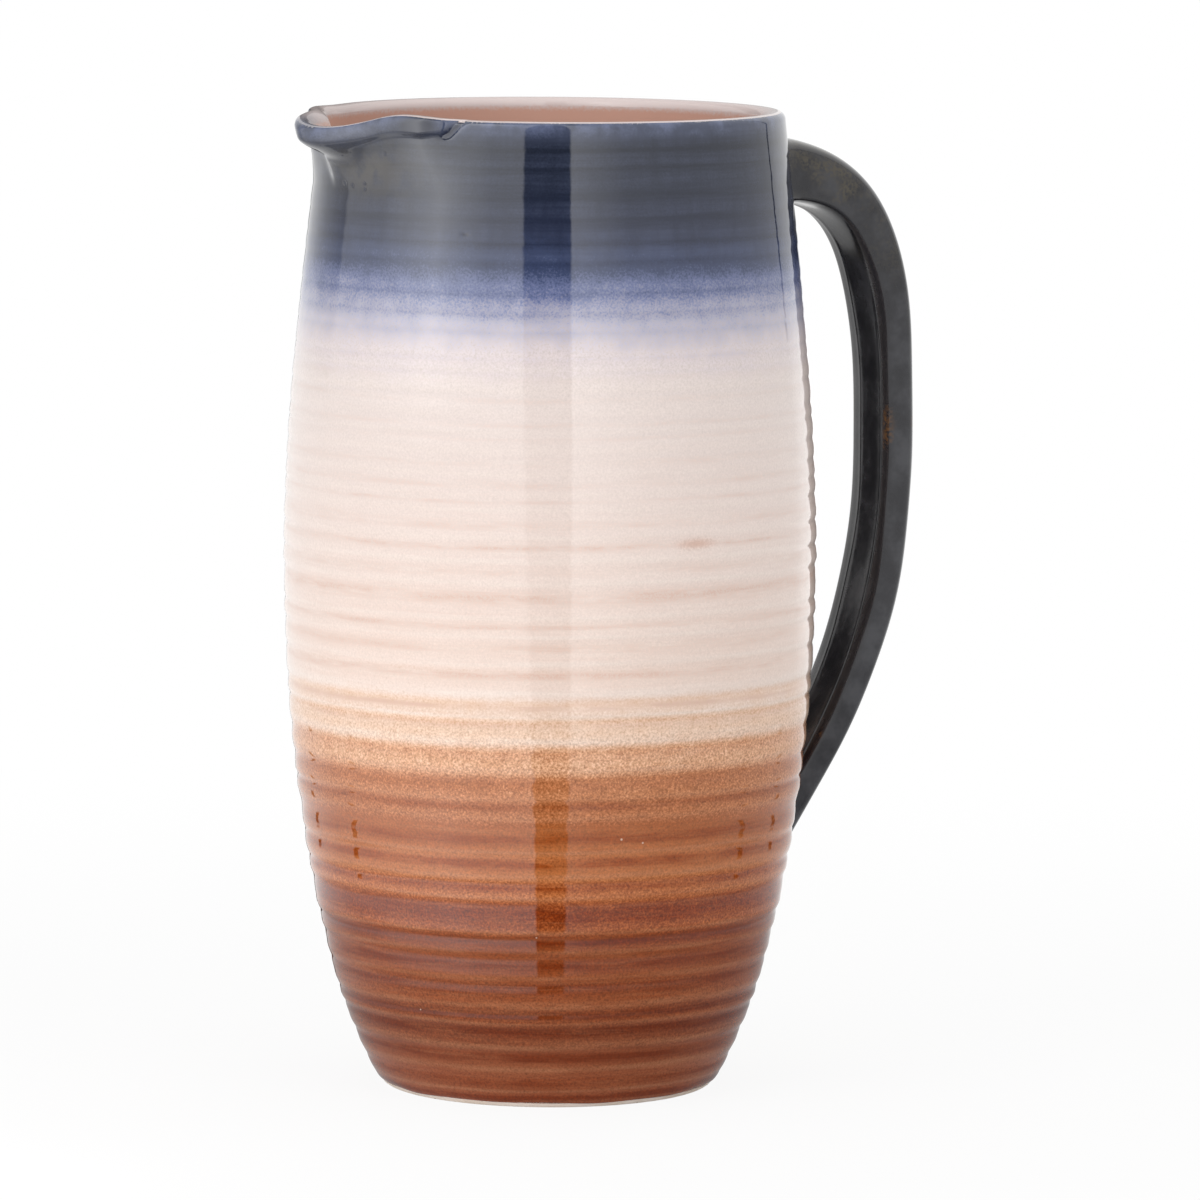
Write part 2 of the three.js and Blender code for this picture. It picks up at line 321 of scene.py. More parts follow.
@dataclass(frozen=True)
class Spout:
    """Spout pulled out of the rim with one finger, with a rolled lip on its near side."""

    throat_length: float = 19.0
    near_taper: float = 0.38
    far_taper: float = 0.12
    far_power: float = 1.5
    lobe_depth: float = 7.0
    lobe_edge: float = 3.0
    lobe_share: float = 0.45
    soft_turn: float = -22.0
    beak_reach: float = 12.5
    beak_width: float = 30.0
    beak_drop: float = 2.6
    drop_turn: float = -6.0
    drop_width: float = 11.0
    cheek_reach: float = 3.0
    near_cheek_rise: float = 1.28
    far_cheek_rise: float = 0.32
    cheek_offset: float = 27.0
    cheek_width: float = 20.0
    roll_bottoms: Knots = (
        (-39.0, 247.0), (-36.0, 246.4), (-31.0, 245.2), (-20.0, 245.2), (-10.0, 244.6), (0.0, 243.0))
    roll_reaches: Knots = ((-39.0, 1.3), (-32.0, 2.0), (-24.0, 1.2), (-12.0, 0.9), (2.0, 0.0))
    roll_start: Span = (-38.6, -36.8)
    roll_edge: float = 0.9
    notch_turn: float = -38.0
    notch_height: float = 247.0
    notch_foot: Span = (244.6, 245.8)
    notch_slant: float = 0.9
    notch_width: float = 0.95
    notch_depth: float = 1.3
    pool_depth: float = 1.6
    pool_turn: Span = (-30.5, 5.0)
    pool_above: Span = (1.9, 2.1)
    warm_turn: Span = (-14.0, 15.0)
    warm_height: Span = (237.0, 7.0)
    pits: Knots = (
        (-4.3, 233.1), (-7.5, 232.6), (-12.3, 233.3), (-12.5, 231.8), (-20.0, 240.8), (-42.6, 222.0))
    pit_radius: float = 0.6
    pit_depth: float = 0.25
    # Spread of the painted shade in the pits.
    pit_shade: Span = (0.25, 0.6)

    def pull(self, turn: Grid, height: Grid) -> tuple[Grid, Grid]:
        """How far the spout draws the wall outwards and upwards.

        Args:
            turn: Angles from the spout.
            height: Heights on the wall.

        Returns:
            Distances outwards and upwards.
        """
        near = turn < 0.0
        degrees = np.degrees(turn)
        below = RIM_HEIGHT - height
        lift = smooth(self.throat_length, 0.0, below)
        soft = self.lobe_edge * (1.0 + smooth(0.0, self.soft_turn, degrees))
        lobe = smooth(0.0, 1.0, 0.5 + (self.lobe_depth - below) / (2.0 * soft))
        drawn = lift + self.lobe_share * (lobe - lift)
        rise = np.clip(1.0 - below / self.throat_length, 0.0, 1.0) ** np.where(near, 1.0, self.far_power)
        taper = np.where(near, self.near_taper, self.far_taper)
        along = np.abs(turn) * RIM_RADIUS
        beak = bell(2.0 * along, 0.0, self.beak_width * (taper + (1.0 - taper) * rise))
        cheek = bell(along, self.cheek_offset, self.cheek_width / 2.0)
        drop = bell(degrees, self.drop_turn, self.drop_width)
        cheek_rise = np.where(near, self.near_cheek_rise, self.far_cheek_rise)
        out = drawn * self.beak_reach * beak + lift * self.cheek_reach * cheek
        return out, lift * (cheek_rise * cheek - self.beak_drop * drop)

    def roll(self, turn: Grid, height: Grid) -> Grid:
        """How far the rolled lip hangs out over the throat.

        Args:
            turn: Angles from the spout.
            height: Heights on the wall.

        Returns:
            Distances outwards.
        """
        degrees = np.degrees(turn)
        above = height - along_knots(degrees, self.roll_bottoms)
        shelf = smooth(-self.roll_edge, self.roll_edge, above)
        reach = along_knots(degrees, self.roll_reaches) * smooth(*self.roll_start, degrees)
        return reach * shelf - self.notch_depth * self.notch(turn, height)

    def notch(self, turn: Grid, height: Grid) -> Grid:
        """Share of the slanted crack where the rolled lip ends."""
        slant = np.degrees(turn) - self.notch_turn + self.notch_slant * (height - self.notch_height)
        return bell(slant, 0.0, self.notch_width) * smooth(*self.notch_foot, height)

    def pool(self, turn: Grid, height: Grid) -> Grid:
        """Share of the dark glaze that has collected under the rolled lip, and of the painted shade in the
        crack and in the pits.

        Args:
            turn: Angles from the spout.
            height: Heights on the wall.

        Returns:
            Shares from 0 to 1.
        """
        degrees = np.degrees(turn)
        above = height - along_knots(degrees, self.roll_bottoms)
        pooled_and_shaded = self.pool_depth * bell(degrees, *self.pool_turn) * bell(above, *self.pool_above)
        # Painted shade: the crack where the rolled lip ends, and the pits below, take the dark blue too.
        pooled_and_shaded = np.minimum(1.0, pooled_and_shaded + self.notch(turn, height))
        return np.maximum(pooled_and_shaded, smooth(*self.pit_shade, self.pitted(turn, height)))

    def warmth(self, turn: Grid, height: Grid) -> Grid:
        """Share of the warm grey where the glaze is thin on the throat."""
        return bell(np.degrees(turn), *self.warm_turn) * bell(height, *self.warm_height)

    def pitted(self, turn: Grid, height: Grid) -> Grid:
        """Share of the small dark pits that burst in the glaze near the throat.

        Args:
            turn: Angles from the spout.
            height: Heights on the wall.

        Returns:
            Shares from 0 to 1.
        """
        share = np.zeros_like(turn)
        for place, pit_height in self.pits:
            away = np.hypot((turn - math.radians(place)) * RIM_RADIUS, height - pit_height)
            share = np.maximum(share, bell(away, 0.0, self.pit_radius))
        return share


@dataclass(frozen=True)
class ThrownWall:
    """Shape of the thrown wall: its profile, its rings and its spout.

    A knot of the profile has its height, its radius and how fast the radius grows there.
    """

    knots: Triples = (
        (2.6, 43.8, 0.48), (34.0, 55.5, 0.25), (140.0, 67.4, 0.0), (RIM_HEIGHT, RIM_RADIUS, -0.1))
    foot_radius: float = 42.0
    wall: float = 3.8
    glaze: float = 0.4
    bare_foot: float = 1.2
    columns: int = 400
    crowding: float = 0.6
    least_drawn: float = 30.0
    rings: ThrowingRings = ThrowingRings()
    spout: Spout = Spout()

    @property
    def lip_round(self) -> float:
        """Radius of the round lip."""
        return self.wall / 2.0

    @property
    def lip_height(self) -> float:
        """Height of the middle of the round lip."""
        return RIM_HEIGHT - self.lip_round

    @property
    def turns(self) -> Grid:
        """Angles of the columns from the spout, closest together there."""
        even = np.linspace(-np.pi, np.pi, self.columns, endpoint=False)
        return even - self.crowding * np.sin(even)

    def radius(self, height: Grid) -> Grid:
        """Outer radius of the clay.

        Args:
            height: Heights on the wall.

        Returns:
            Radii at those heights.
        """
        height = np.asarray(height, float)
        heel_height, heel_radius, _ = self.knots[0]
        found = self.foot_radius + (heel_radius - self.foot_radius) * height / heel_height
        for (low, low_radius, low_slope), (high, high_radius, high_slope) in zip(self.knots, self.knots[1:]):
            rise = (high - low) / 3.0
            curve = bezier((height - low) / (high - low), low_radius, low_radius + low_slope * rise,
                           high_radius - high_slope * rise, high_radius)
            found = np.where(height >= low, curve, found)
        return found

    def turned(self, radius: Grid, height: Grid, rolled: Grid | float = 0.0) -> Grid:
        """Turn rows of radius and height round the axis and draw them out at the spout.

        Args:
            radius: Radii, one per row or rows by columns.
            height: Heights in the same layout.
            rolled: Share of the rolled lip that the rows follow, one for all or one per row.

        Returns:
            Points, rows by columns by 3.
        """
        shape = (len(radius), self.columns)
        radius, height = (
            np.broadcast_to(rows if np.ndim(rows) == 2 else rows[:, None], shape)
            for rows in (radius, height))
        turn = np.broadcast_to(self.turns, shape)
        out, up = self.spout.pull(turn, height)
        rolled_out = np.reshape(rolled, (-1, 1)) * self.spout.roll(turn, height)
        reach = radius + np.where(radius > self.least_drawn, out + rolled_out, 0.0)
        return np.stack([-reach * np.cos(turn), reach * np.sin(turn), height + up], axis=-1)

    def depth(self, height: Grid) -> Grid:
        """Distances down from the lip's crest along either face of the wall."""
        return self.lip_height - height + self.lip_round * math.radians(90.0)

    def lip(self, angles: Grid, off: float) -> tuple[Grid, Grid, Grid]:
        """Rows of the round lip.

        Args:
            angles: Angles in degrees, where 0 faces outwards and 180 inwards.
            off: Distance off the clay.

        Returns:
            Radii and heights of the rows, and distances from the lip's crest.
        """
        angle = np.radians(angles)
        middle = self.radius(self.lip_height) - self.lip_round
        bend = self.lip_round + off
        away = self.lip_round * np.abs(math.radians(90.0) - angle)
        return middle + bend * np.cos(angle), self.lip_height + bend * np.sin(angle), away


class Bench:
    """Lays out shader nodes in a tree."""

    def __init__(self, tree: bpy.types.NodeTree) -> None:
        """Take the tree to work on."""
        self.tree = tree

    def node(self, kind: str, feeds: dict[int | str, Feed] | None = None,
             **settings: object) -> bpy.types.Node:
        """Add a node.

        Args:
            kind: Node type, without its first word.
            feeds: What goes into its inputs, by number or name.
            **settings: Properties to set on it.

        Returns:
            The new node.
        """
        made = self.tree.nodes.new(f"ShaderNode{kind}")
        for key, value in settings.items():
            setattr(made, key, value)
        for socket, value in (feeds or {}).items():
            self.feed(made.inputs[socket], value)
        return made

    def feed(self, socket: Socket, value: Feed) -> None:
        """Link a socket, or set its value.

        Args:
            socket: Input to feed.
            value: Another node's output, a number or a colour.
        """
        if isinstance(value, bpy.types.NodeSocket):
            self.tree.links.new(value, socket)
        elif isinstance(value, tuple) and socket.type == "RGBA":
            socket.default_value = (*value, 1.0)
        else:
            socket.default_value = value

    def math(self, operation: str, *numbers: Feed, clamp: bool = False) -> Socket:
        """A sum on up to three numbers, kept from 0 to 1 if clamped."""
        return self.node("Math", dict(enumerate(numbers)), operation=operation, use_clamp=clamp).outputs[0]

    def times(self, first: Feed, second: Feed, clamp: bool = False) -> Socket:
        """Product of two numbers."""
        return self.math("MULTIPLY", first, second, clamp=clamp)

    def plus(self, value: Feed, factor: Feed, start: Feed, clamp: bool = False) -> Socket:
        """A number times a factor, on top of a start."""
        return self.math("MULTIPLY_ADD", value, factor, start, clamp=clamp)

    def sway(self, noise: Socket, reach: Feed, start: Feed) -> Socket:
        """A start that noise moves to and fro."""
        return self.plus(self.math("SUBTRACT", noise, 0.5), reach, start)

    def apart(self, first: Feed, second: Feed) -> Socket:
        """Distance between two numbers."""
        return self.math("ABSOLUTE", self.math("SUBTRACT", first, second))

    def ease(self, value: Feed, step: Span, result: Span = (0.0, 1.0)) -> Socket:
        """Smooth step between two values.

        Args:
            value: Number to ease.
            step: Where the step starts and ends, either way round.
            result: Results before and after the step.

        Returns:
            The eased number.
        """
        if step[0] > step[1]:
            step, result = step[::-1], result[::-1]
        feeds = dict(enumerate((value, *step, *result)))
        return self.node("MapRange", feeds, interpolation_type="SMOOTHSTEP").outputs[0]

    def mix(self, share: Feed, first: Feed, second: Feed, how: str = "MIX") -> Socket:
        """A mix of two colours, with a share of the second."""
        return self.node("Mix", {0: share, 6: first, 7: second}, data_type="RGBA", blend_type=how).outputs[2]

    def mark(self, name: str) -> Socket:
        """A number kept at each point of the mesh."""
        return self.node("Attribute", attribute_name=name).outputs["Fac"]

    def seen(self) -> Socket:
        """Whether the camera sees a ray directly, in gloss or through glass.

        Returns:
            1 if it does, else 0.
        """
        path = self.node("LightPath").outputs
        seen = path["Is Camera Ray"]
        for name in ("Is Glossy Ray", "Is Transmission Ray"):
            seen = self.math("MAXIMUM", seen, path[name])
        return seen


@dataclass
class Finish(Bench):
    """A finish: its material, and the noise and gloss that its nodes share.

    A cloud of noise has a size, finer layers, their strength, and how much flatter it is than wide.
    """

    name: str
    grain_cloud: Cloud = (0.5, 2.0, 0.6, 1.0)
    mottle_cloud: Cloud = (5.0, 3.0, 0.5, 1.0)
    wave_cloud: Cloud = (3.0, 1.0, 0.5, 1.0)
    wave_depth: float = 0.015
    roughness: float = 0.05
    roughness_range: float = 0.05
    ior: float = 1.5

    def __post_init__(self) -> None:
        """Start with an empty material."""
        self.material = bpy.data.materials.new(self.name)
        self.material.use_nodes = True
        super().__init__(self.material.node_tree)
        self.tree.nodes.clear()

    @cached_property
    def place(self) -> Socket:
        """Place on the object in millimetres."""
        feeds = {0: self.node("TexCoord").outputs["Object"], "Scale": 1.0 / METRES}
        return self.node("VectorMath", feeds, operation="SCALE").outputs[0]

    @cached_property
    def height(self) -> Socket:
        """Height on the object in millimetres."""
        return self.node("SeparateXYZ", {0: self.place}).outputs[2]

    @cached_property
    def grain(self) -> Socket:
        """Fine noise from 0 to 1."""
        return self.noise(*self.grain_cloud)

    @cached_property
    def mottle(self) -> Socket:
        """Middling noise from 0 to 1."""
        return self.noise(*self.mottle_cloud)

    def flattened(self, factor: float) -> Socket:
        """The place with its height scaled."""
        feeds = {0: self.place, 1: (1.0, 1.0, factor)}
        return self.node("VectorMath", feeds, operation="MULTIPLY").outputs[0]

    def noise(self, size: float, detail: float, roughness: float, flat: float) -> Socket:
        """Cloudy noise from 0 to 1.

        Args:
            size: Size of a cloud in millimetres.
            detail: Finer layers.
            roughness: Strength of the finer layers.
            flat: How much flatter a cloud is than wide.

        Returns:
            The noise.
        """
        place = self.place if flat == 1.0 else self.flattened(flat)
        feeds = {"Vector": place, "Scale": 1.0 / size, "Detail": detail, "Roughness": roughness}
        return self.node("TexNoise", feeds).outputs[0]

    def dots(self, pitch: float, size: float, share: float) -> Socket:
        """Scattered round dots, from a little smaller to a little larger.

        Args:
            pitch: Usual distance between places for a dot.
            size: Radius of a dot.
            share: Share of the places that have a dot.

        Returns:
            1 inside a dot and 0 outside.
        """
        cells = self.node("TexVoronoi", {"Vector": self.place, "Scale": 1.0 / pitch})
        chances = self.node("SeparateColor", {0: cells.outputs["Color"]}).outputs
        chosen = self.math("LESS_THAN", chances[0], share)
        grown = self.plus(chances[1], 0.6, 0.7)
        near = self.math("DIVIDE", cells.outputs["Distance"], grown)
        return self.times(self.ease(near, (size / pitch, 0.5 * size / pitch)), chosen)

    def ramp(self, value: Socket, stops: Stops) -> Socket:
        """Colours strung along a value.

        Args:
            value: Value to look up, from 0 to that of the last stop.
            stops: Values and their colours, in order.

        Returns:
            The colour.
        """
        reach = stops[-1][0]
        made = self.node("ValToRGB", {0: self.math("DIVIDE", value, reach)})
        elements = made.color_ramp.elements
        while len(elements) < len(stops):
            elements.new(0.5)
        for element, (stop, colour) in zip(elements, stops):
            element.position = stop / reach
            element.color = (*colour, 1.0)
        return made.outputs[0]

    def close(self, colour: Feed, uneven: Socket, relief: Socket) -> bpy.types.Material:
        """Close the material with its shader.

        Args:
            colour: Base colour.
            uneven: Noise that makes it rougher.
            relief: Height of the fine relief, from 0 to 1.

        Returns:
            The finished material.
        """
        rough = self.plus(uneven, self.roughness_range, self.roughness)
        bump = self.node("Bump", {"Distance": self.wave_depth * METRES, "Height": relief})
        shader = self.node("BsdfPrincipled", {
            "Base Color": colour, "Roughness": rough, "Normal": bump.outputs[0], "IOR": self.ior})
        return self.show(shader)

    def show(self, shader: bpy.types.Node) -> bpy.types.Material:
        """The material with a shader on its surface."""
        self.node("OutputMaterial", {"Surface": shader.outputs[0]})
        return self.material


@dataclass
class BandGlaze(Finish):
    """Glossy glaze of the outside: rust below, pale rose in the middle and slate blue at the rim."""

    name: str = "banded_glaze"
    grain_cloud: Cloud = (0.55, 2.0, 0.6, 1.0)
    mottle_cloud: Cloud = (5.0, 3.0, 0.55, 1.0)
    drift_cloud: Cloud = (46.0, 2.0, 0.5, 3.0)
    broken_cloud: Cloud = (18.0, 3.0, 0.65, 6.0)
    brush_cloud: Cloud = (26.0, 4.0, 0.65, 22.0)
    streak_cloud: Cloud = (3.2, 2.0, 0.5, 0.12)
    wave_cloud: Cloud = (2.6, 1.0, 0.5, 1.0)
    wave_depth: float = 0.012
    roughness: float = 0.015
    roughness_range: float = 0.03
    stops: Stops = (
        (0.0, (0.33, 0.093, 0.036)), (8.0, (0.30, 0.083, 0.030)), (18.0, (0.22, 0.058, 0.021)),
        (32.0, (0.28, 0.073, 0.023)), (45.0, (0.24, 0.052, 0.012)), (51.0, (0.30, 0.069, 0.017)),
        (57.0, (0.41, 0.117, 0.033)), (63.0, (0.47, 0.160, 0.052)), (74.0, (0.37, 0.107, 0.030)),
        (86.0, (0.51, 0.200, 0.084)), (92.5, (0.68, 0.360, 0.200)), (100.5, (0.79, 0.550, 0.400)),
        (110.0, (0.815, 0.655, 0.573)), (150.0, (0.825, 0.695, 0.637)), (184.0, (0.79, 0.690, 0.650)),
        (193.0, (0.72, 0.635, 0.645)), (201.0, (0.46, 0.447, 0.550)), (208.0, (0.15, 0.178, 0.330)),
        (214.0, (0.042, 0.058, 0.125)), (222.0, (0.018, 0.024, 0.052)), (234.0, (0.014, 0.019, 0.038)),
        (252.0, (0.014, 0.018, 0.031)))
    thin_rust: Colour = (0.50, 0.23, 0.115)
    # Multiplied into the rust hollows: partly thick pooled glaze, partly painted shade.
    hollow_rust_and_shade: Colour = (0.64, 0.41, 0.21)
    rose_line: Colour = (0.66, 0.43, 0.34)
    cream: Colour = (0.87, 0.76, 0.69)
    thin_blue: Colour = (0.165, 0.195, 0.32)
    # Dark blue of pooled glaze under the roll, also painted as shade in the crack and the pits.
    pooled_blue_and_shade: Colour = (0.010, 0.014, 0.034)
    warm_grey: Colour = (0.085, 0.075, 0.062)
    lip_white: Colour = (0.80, 0.75, 0.74)
    pinhole: Colour = (0.62, 0.44, 0.34)
    ring_shift: Fade = ((140.0, 160.0), (6.5, -2.5))
    ring_middle: float = 0.66
    grain_shift: float = 17.0
    mottle_shift: float = 6.0
    drift_shift: float = 5.0
    line_breaks: Fade = ((0.35, 0.62), (0.5, 1.0))
    crest_line: Span = (-0.06, 0.2)
    hollow_line: Span = (0.45, 0.36)
    line_seed: float = 7.3
    faintest_line: float = 0.65
    line_range: float = 0.35
    thin_mix: Span = (1.2, 0.9)
    hollow_rust_and_shade_mix: Span = (-1.0, 1.4)
    pale_mix: Span = (1.6, 0.7)
    vein_strokes: float = -0.9
    hollow_rust_and_shade_heights: Span = (96.0, 66.0)
    crest_rust: Fade = ((100.0, 82.0), (0.0, 0.42))
    rose_foot: Span = (84.0, 104.0)
    rose_head: Span = (206.0, 176.0)
    rose_fade: Fade = ((190.0, 115.0), (0.25, 0.85))
    rose_grain: Fade = ((0.36, 0.6), (0.3, 1.0))
    rose_crest: float = 0.7
    stain: Triple = (6.5, -67.7, 145.3)
    stain_flat: float = 4.2
    stain_ragged: float = 6.0
    stain_fade: Fade = ((8.5, 0.0), (0.0, 0.8))
    blue_foot: Span = (203.0, 214.0)
    blue_pale: float = 0.24
    rust_speckle: Fade = ((110.0, 84.0), (0.0, 1.3))
    blue_speckle: Fade = ((176.0, 204.0), (0.3, 0.9))
    pinhole_dots: Triple = (6.0, 0.35, 0.16)
    pinhole_head: Span = (100.0, 80.0)
    lip_grain: float = 3.0
    lip_mottle: float = 2.0
    warm_mottle: Fade = ((0.3, 0.6), (0.2, 0.7))
    frost: Fade = ((6.0, 1.0), (0.0, 0.75))
    frost_mottle: Fade = ((0.35, 0.65), (0.35, 1.0))
    white_edge: Fade = ((0.9, 0.4), (0.0, 0.5))

    def build(self) -> bpy.types.Material:
        """Make the glaze.

        Returns:
            The material, shared by the three bands.
        """
        colour = self.ramp(self.shifted(), self.stops)
        for layer in (self.rusted, self.veined, self.stained, self.streaked, self.speckled, self.lipped):
            colour = layer(colour)
        return self.close(colour, self.mottle, self.noise(*self.wave_cloud))

    def shifted(self) -> Socket:
        """Height on the colour string, moved by the rings and broken up by noise.

        Returns:
            The moved height.
        """
        crest = self.math("SUBTRACT", self.mark("ring"), self.ring_middle)
        moved = self.plus(crest, self.ease(self.height, *self.ring_shift), self.height)
        drift = self.noise(*self.drift_cloud)
        moved = self.sway(self.grain, self.grain_shift, moved)
        moved = self.sway(self.mottle, self.mottle_shift, moved)
        return self.sway(drift, self.drift_shift, moved)

    @cached_property
    def brush(self) -> Socket:
        """Fine lines that lie along the rings, to either side of 0."""
        return self.math("SUBTRACT", self.noise(*self.brush_cloud), 0.5)

    @cached_property
    def crests(self) -> Socket:
        """Strength of the lines along the crests."""
        return self.lines("ROUND", *self.crest_line)

    @cached_property
    def hollows(self) -> Socket:
        """Strength of the lines along the hollows."""
        return self.lines("FLOOR", *self.hollow_line)

    @cached_property
    def breaks(self) -> Socket:
        """Where the lines along the rings fade and come back."""
        return self.ease(self.noise(*self.broken_cloud), *self.line_breaks)

    @cached_property
    def thin(self) -> Socket:
        """Share of thin glaze on the crests."""
        return self.brushed(self.crests, *self.thin_mix, clamp=True)

    def brushed(self, lines: Socket, strokes: float, strength: Feed, clamp: bool = False) -> Socket:
        """Lines of some strength, with brush strokes laid over them."""
        return self.plus(self.brush, strokes, self.times(lines, strength), clamp=clamp)

    def lines(self, rounding: str, middle: float, width: float) -> Socket:
        """Lines along the rings, no two alike.

        Args:
            rounding: How the count of rings is made whole.
            middle: Where a line lies, in rings from the whole count.
            width: Half the width of a line, in rings.

        Returns:
            Strength of the lines.
        """
        count = self.mark("count")
        whole = self.math(rounding, count)
        away = self.apart(self.math("SUBTRACT", count, whole), middle)
        seed = self.math("ADD", whole, middle + self.line_seed)
        chance = self.node("TexWhiteNoise", {"W": seed}, noise_dimensions="1D").outputs["Value"]
        strength = self.plus(chance, self.line_range, self.faintest_line)
        return self.times(self.times(self.ease(away, (width, 0.0)), strength), self.breaks)

    def rusted(self, colour: Socket) -> Socket:
        """Lay heavy rust in the hollows, darkened further as painted shade, and thin rust on the crests.

        Args:
            colour: Colour so far.

        Returns:
            The new colour.
        """
        # Painted shade: the rust hollows are darkened, partly as thick glaze and partly as shade put into
        # the colour.
        hollow_rust_and_shade_share = self.brushed(self.hollows, *self.hollow_rust_and_shade_mix, clamp=True)
        rust_darkened_in_hollows = self.mix(1.0, colour, self.hollow_rust_and_shade, "MULTIPLY")
        colour = self.mix(self.times(hollow_rust_and_shade_share, self.ease(self.height, self.hollow_rust_and_shade_heights)), colour, rust_darkened_in_hollows)
        thin = self.times(self.thin, self.ease(self.height, *self.crest_rust))
        return self.mix(thin, colour, self.thin_rust)

    def veined(self, colour: Socket) -> Socket:
        """Draw warm lines in the hollows of the rose and cream on its crests, fainter towards the blue.

        Args:
            colour: Colour so far.

        Returns:
            The new colour.
        """
        rose = self.times(self.ease(self.height, self.rose_foot), self.ease(self.height, self.rose_head))
        fading = self.times(rose, self.ease(self.height, *self.rose_fade))
        veins = self.brushed(self.hollows, self.vein_strokes, self.hollows, clamp=True)
        veins = self.times(veins, self.ease(self.grain, *self.rose_grain))
        colour = self.mix(self.times(veins, fading), colour, self.rose_line)
        return self.mix(self.times(self.thin, self.times(fading, self.rose_crest)), colour, self.cream)

    def stained(self, colour: Socket) -> Socket:
        """Leave one ragged smear on the rose.

        Args:
            colour: Colour so far.

        Returns:
            The new colour.
        """
        x, y, z = self.stain
        feeds = {0: self.flattened(self.stain_flat), 1: (x, y, z * self.stain_flat)}
        away = self.node("VectorMath", feeds, operation="DISTANCE").outputs["Value"]
        ragged = self.sway(self.grain, self.stain_ragged, away)
        return self.mix(self.ease(ragged, *self.stain_fade), colour, self.rose_line)

    def streaked(self, colour: Socket) -> Socket:
        """Thin the blue on the crests, in short upright streaks.

        Args:
            colour: Colour so far.

        Returns:
            The new colour.
        """
        band = self.brushed(self.mark("ring"), *self.pale_mix)
        streaks = self.times(band, self.noise(*self.streak_cloud))
        pale = self.times(streaks, self.ease(self.height, self.blue_foot))
        return self.mix(self.times(pale, self.blue_pale, clamp=True), colour, self.thin_blue)

    def speckled(self, colour: Socket) -> Socket:
        """Add grain, and pale pinholes in the rust.

        Args:
            colour: Colour so far.

        Returns:
            The new colour.
        """
        rust = self.ease(self.height, *self.rust_speckle)
        share = self.math("ADD", rust, self.ease(self.height, *self.blue_speckle))
        shade = self.sway(self.grain, share, 1.0)
        tint = self.node("CombineColor", {0: shade, 1: shade, 2: shade}).outputs[0]
        colour = self.mix(1.0, colour, tint, "MULTIPLY")
        holes = self.times(self.dots(*self.pinhole_dots), self.ease(self.height, self.pinhole_head))
        return self.mix(holes, colour, self.pinhole)

    def lipped(self, colour: Socket) -> Socket:
        """Warm the throat, frost the lip with a faint white line, gather dark glaze under the roll, and
        paint shade into the crack and the pits.

        Args:
            colour: Colour so far.

        Returns:
            The new colour.
        """
        ragged = self.sway(self.grain, self.lip_grain, self.mark("lip"))
        ragged = self.sway(self.mottle, self.lip_mottle, ragged)
        warm = self.times(self.mark("warm"), self.ease(self.mottle, *self.warm_mottle))
        colour = self.mix(warm, colour, self.warm_grey)
        frost = self.times(self.ease(ragged, *self.frost), self.ease(self.mottle, *self.frost_mottle))
        colour = self.mix(frost, colour, self.thin_blue)
        colour = self.mix(self.ease(ragged, *self.white_edge), colour, self.lip_white)
        # Dark blue of the glaze pooled under the roll, and painted shade in the crack and the pits.
        return self.mix(self.mark("pool"), colour, self.pooled_blue_and_shade)


@dataclass
class InsideGlaze(Finish):
    """Glossy rose glaze of the inside, white where it runs thin over the lip."""

    name: str = "inside_glaze"
    grain_cloud: Cloud = (0.85, 2.0, 0.6, 1.0)
    mottle_cloud: Cloud = (7.0, 3.0, 0.5, 1.0)
    roughness_range: float = 0.06
    ior: float = 1.4
    rose: Colour = (0.71, 0.44, 0.35)
    deep_rose: Colour = (0.60, 0.355, 0.275)
    lip_white: Colour = (0.73, 0.63, 0.61)
    blue: Colour = (0.13, 0.15, 0.20)
    grain_shift: float = 2.0
    mottle_shift: float = 5.0
    white_edge: Span = (4.4, 2.6)
    blue_edge: Fade = ((4.0, 1.0), (0.0, 0.85))

    def build(self) -> bpy.types.Material:
        """Make the glaze.

        Returns:
            The material.
        """
        uneven = self.sway(self.grain, self.grain_shift, self.mark("lip"))
        colour = self.mix(self.times(self.mark("ring"), self.mottle), self.rose, self.deep_rose)
        colour = self.mix(self.ease(uneven, self.white_edge), colour, self.lip_white)
        ragged = self.sway(self.mottle, self.mottle_shift, uneven)
        beak = self.times(self.mark("beak"), self.ease(ragged, *self.blue_edge))
        colour = self.mix(beak, colour, self.blue)
        return self.close(colour, self.mottle, self.noise(*self.wave_cloud))


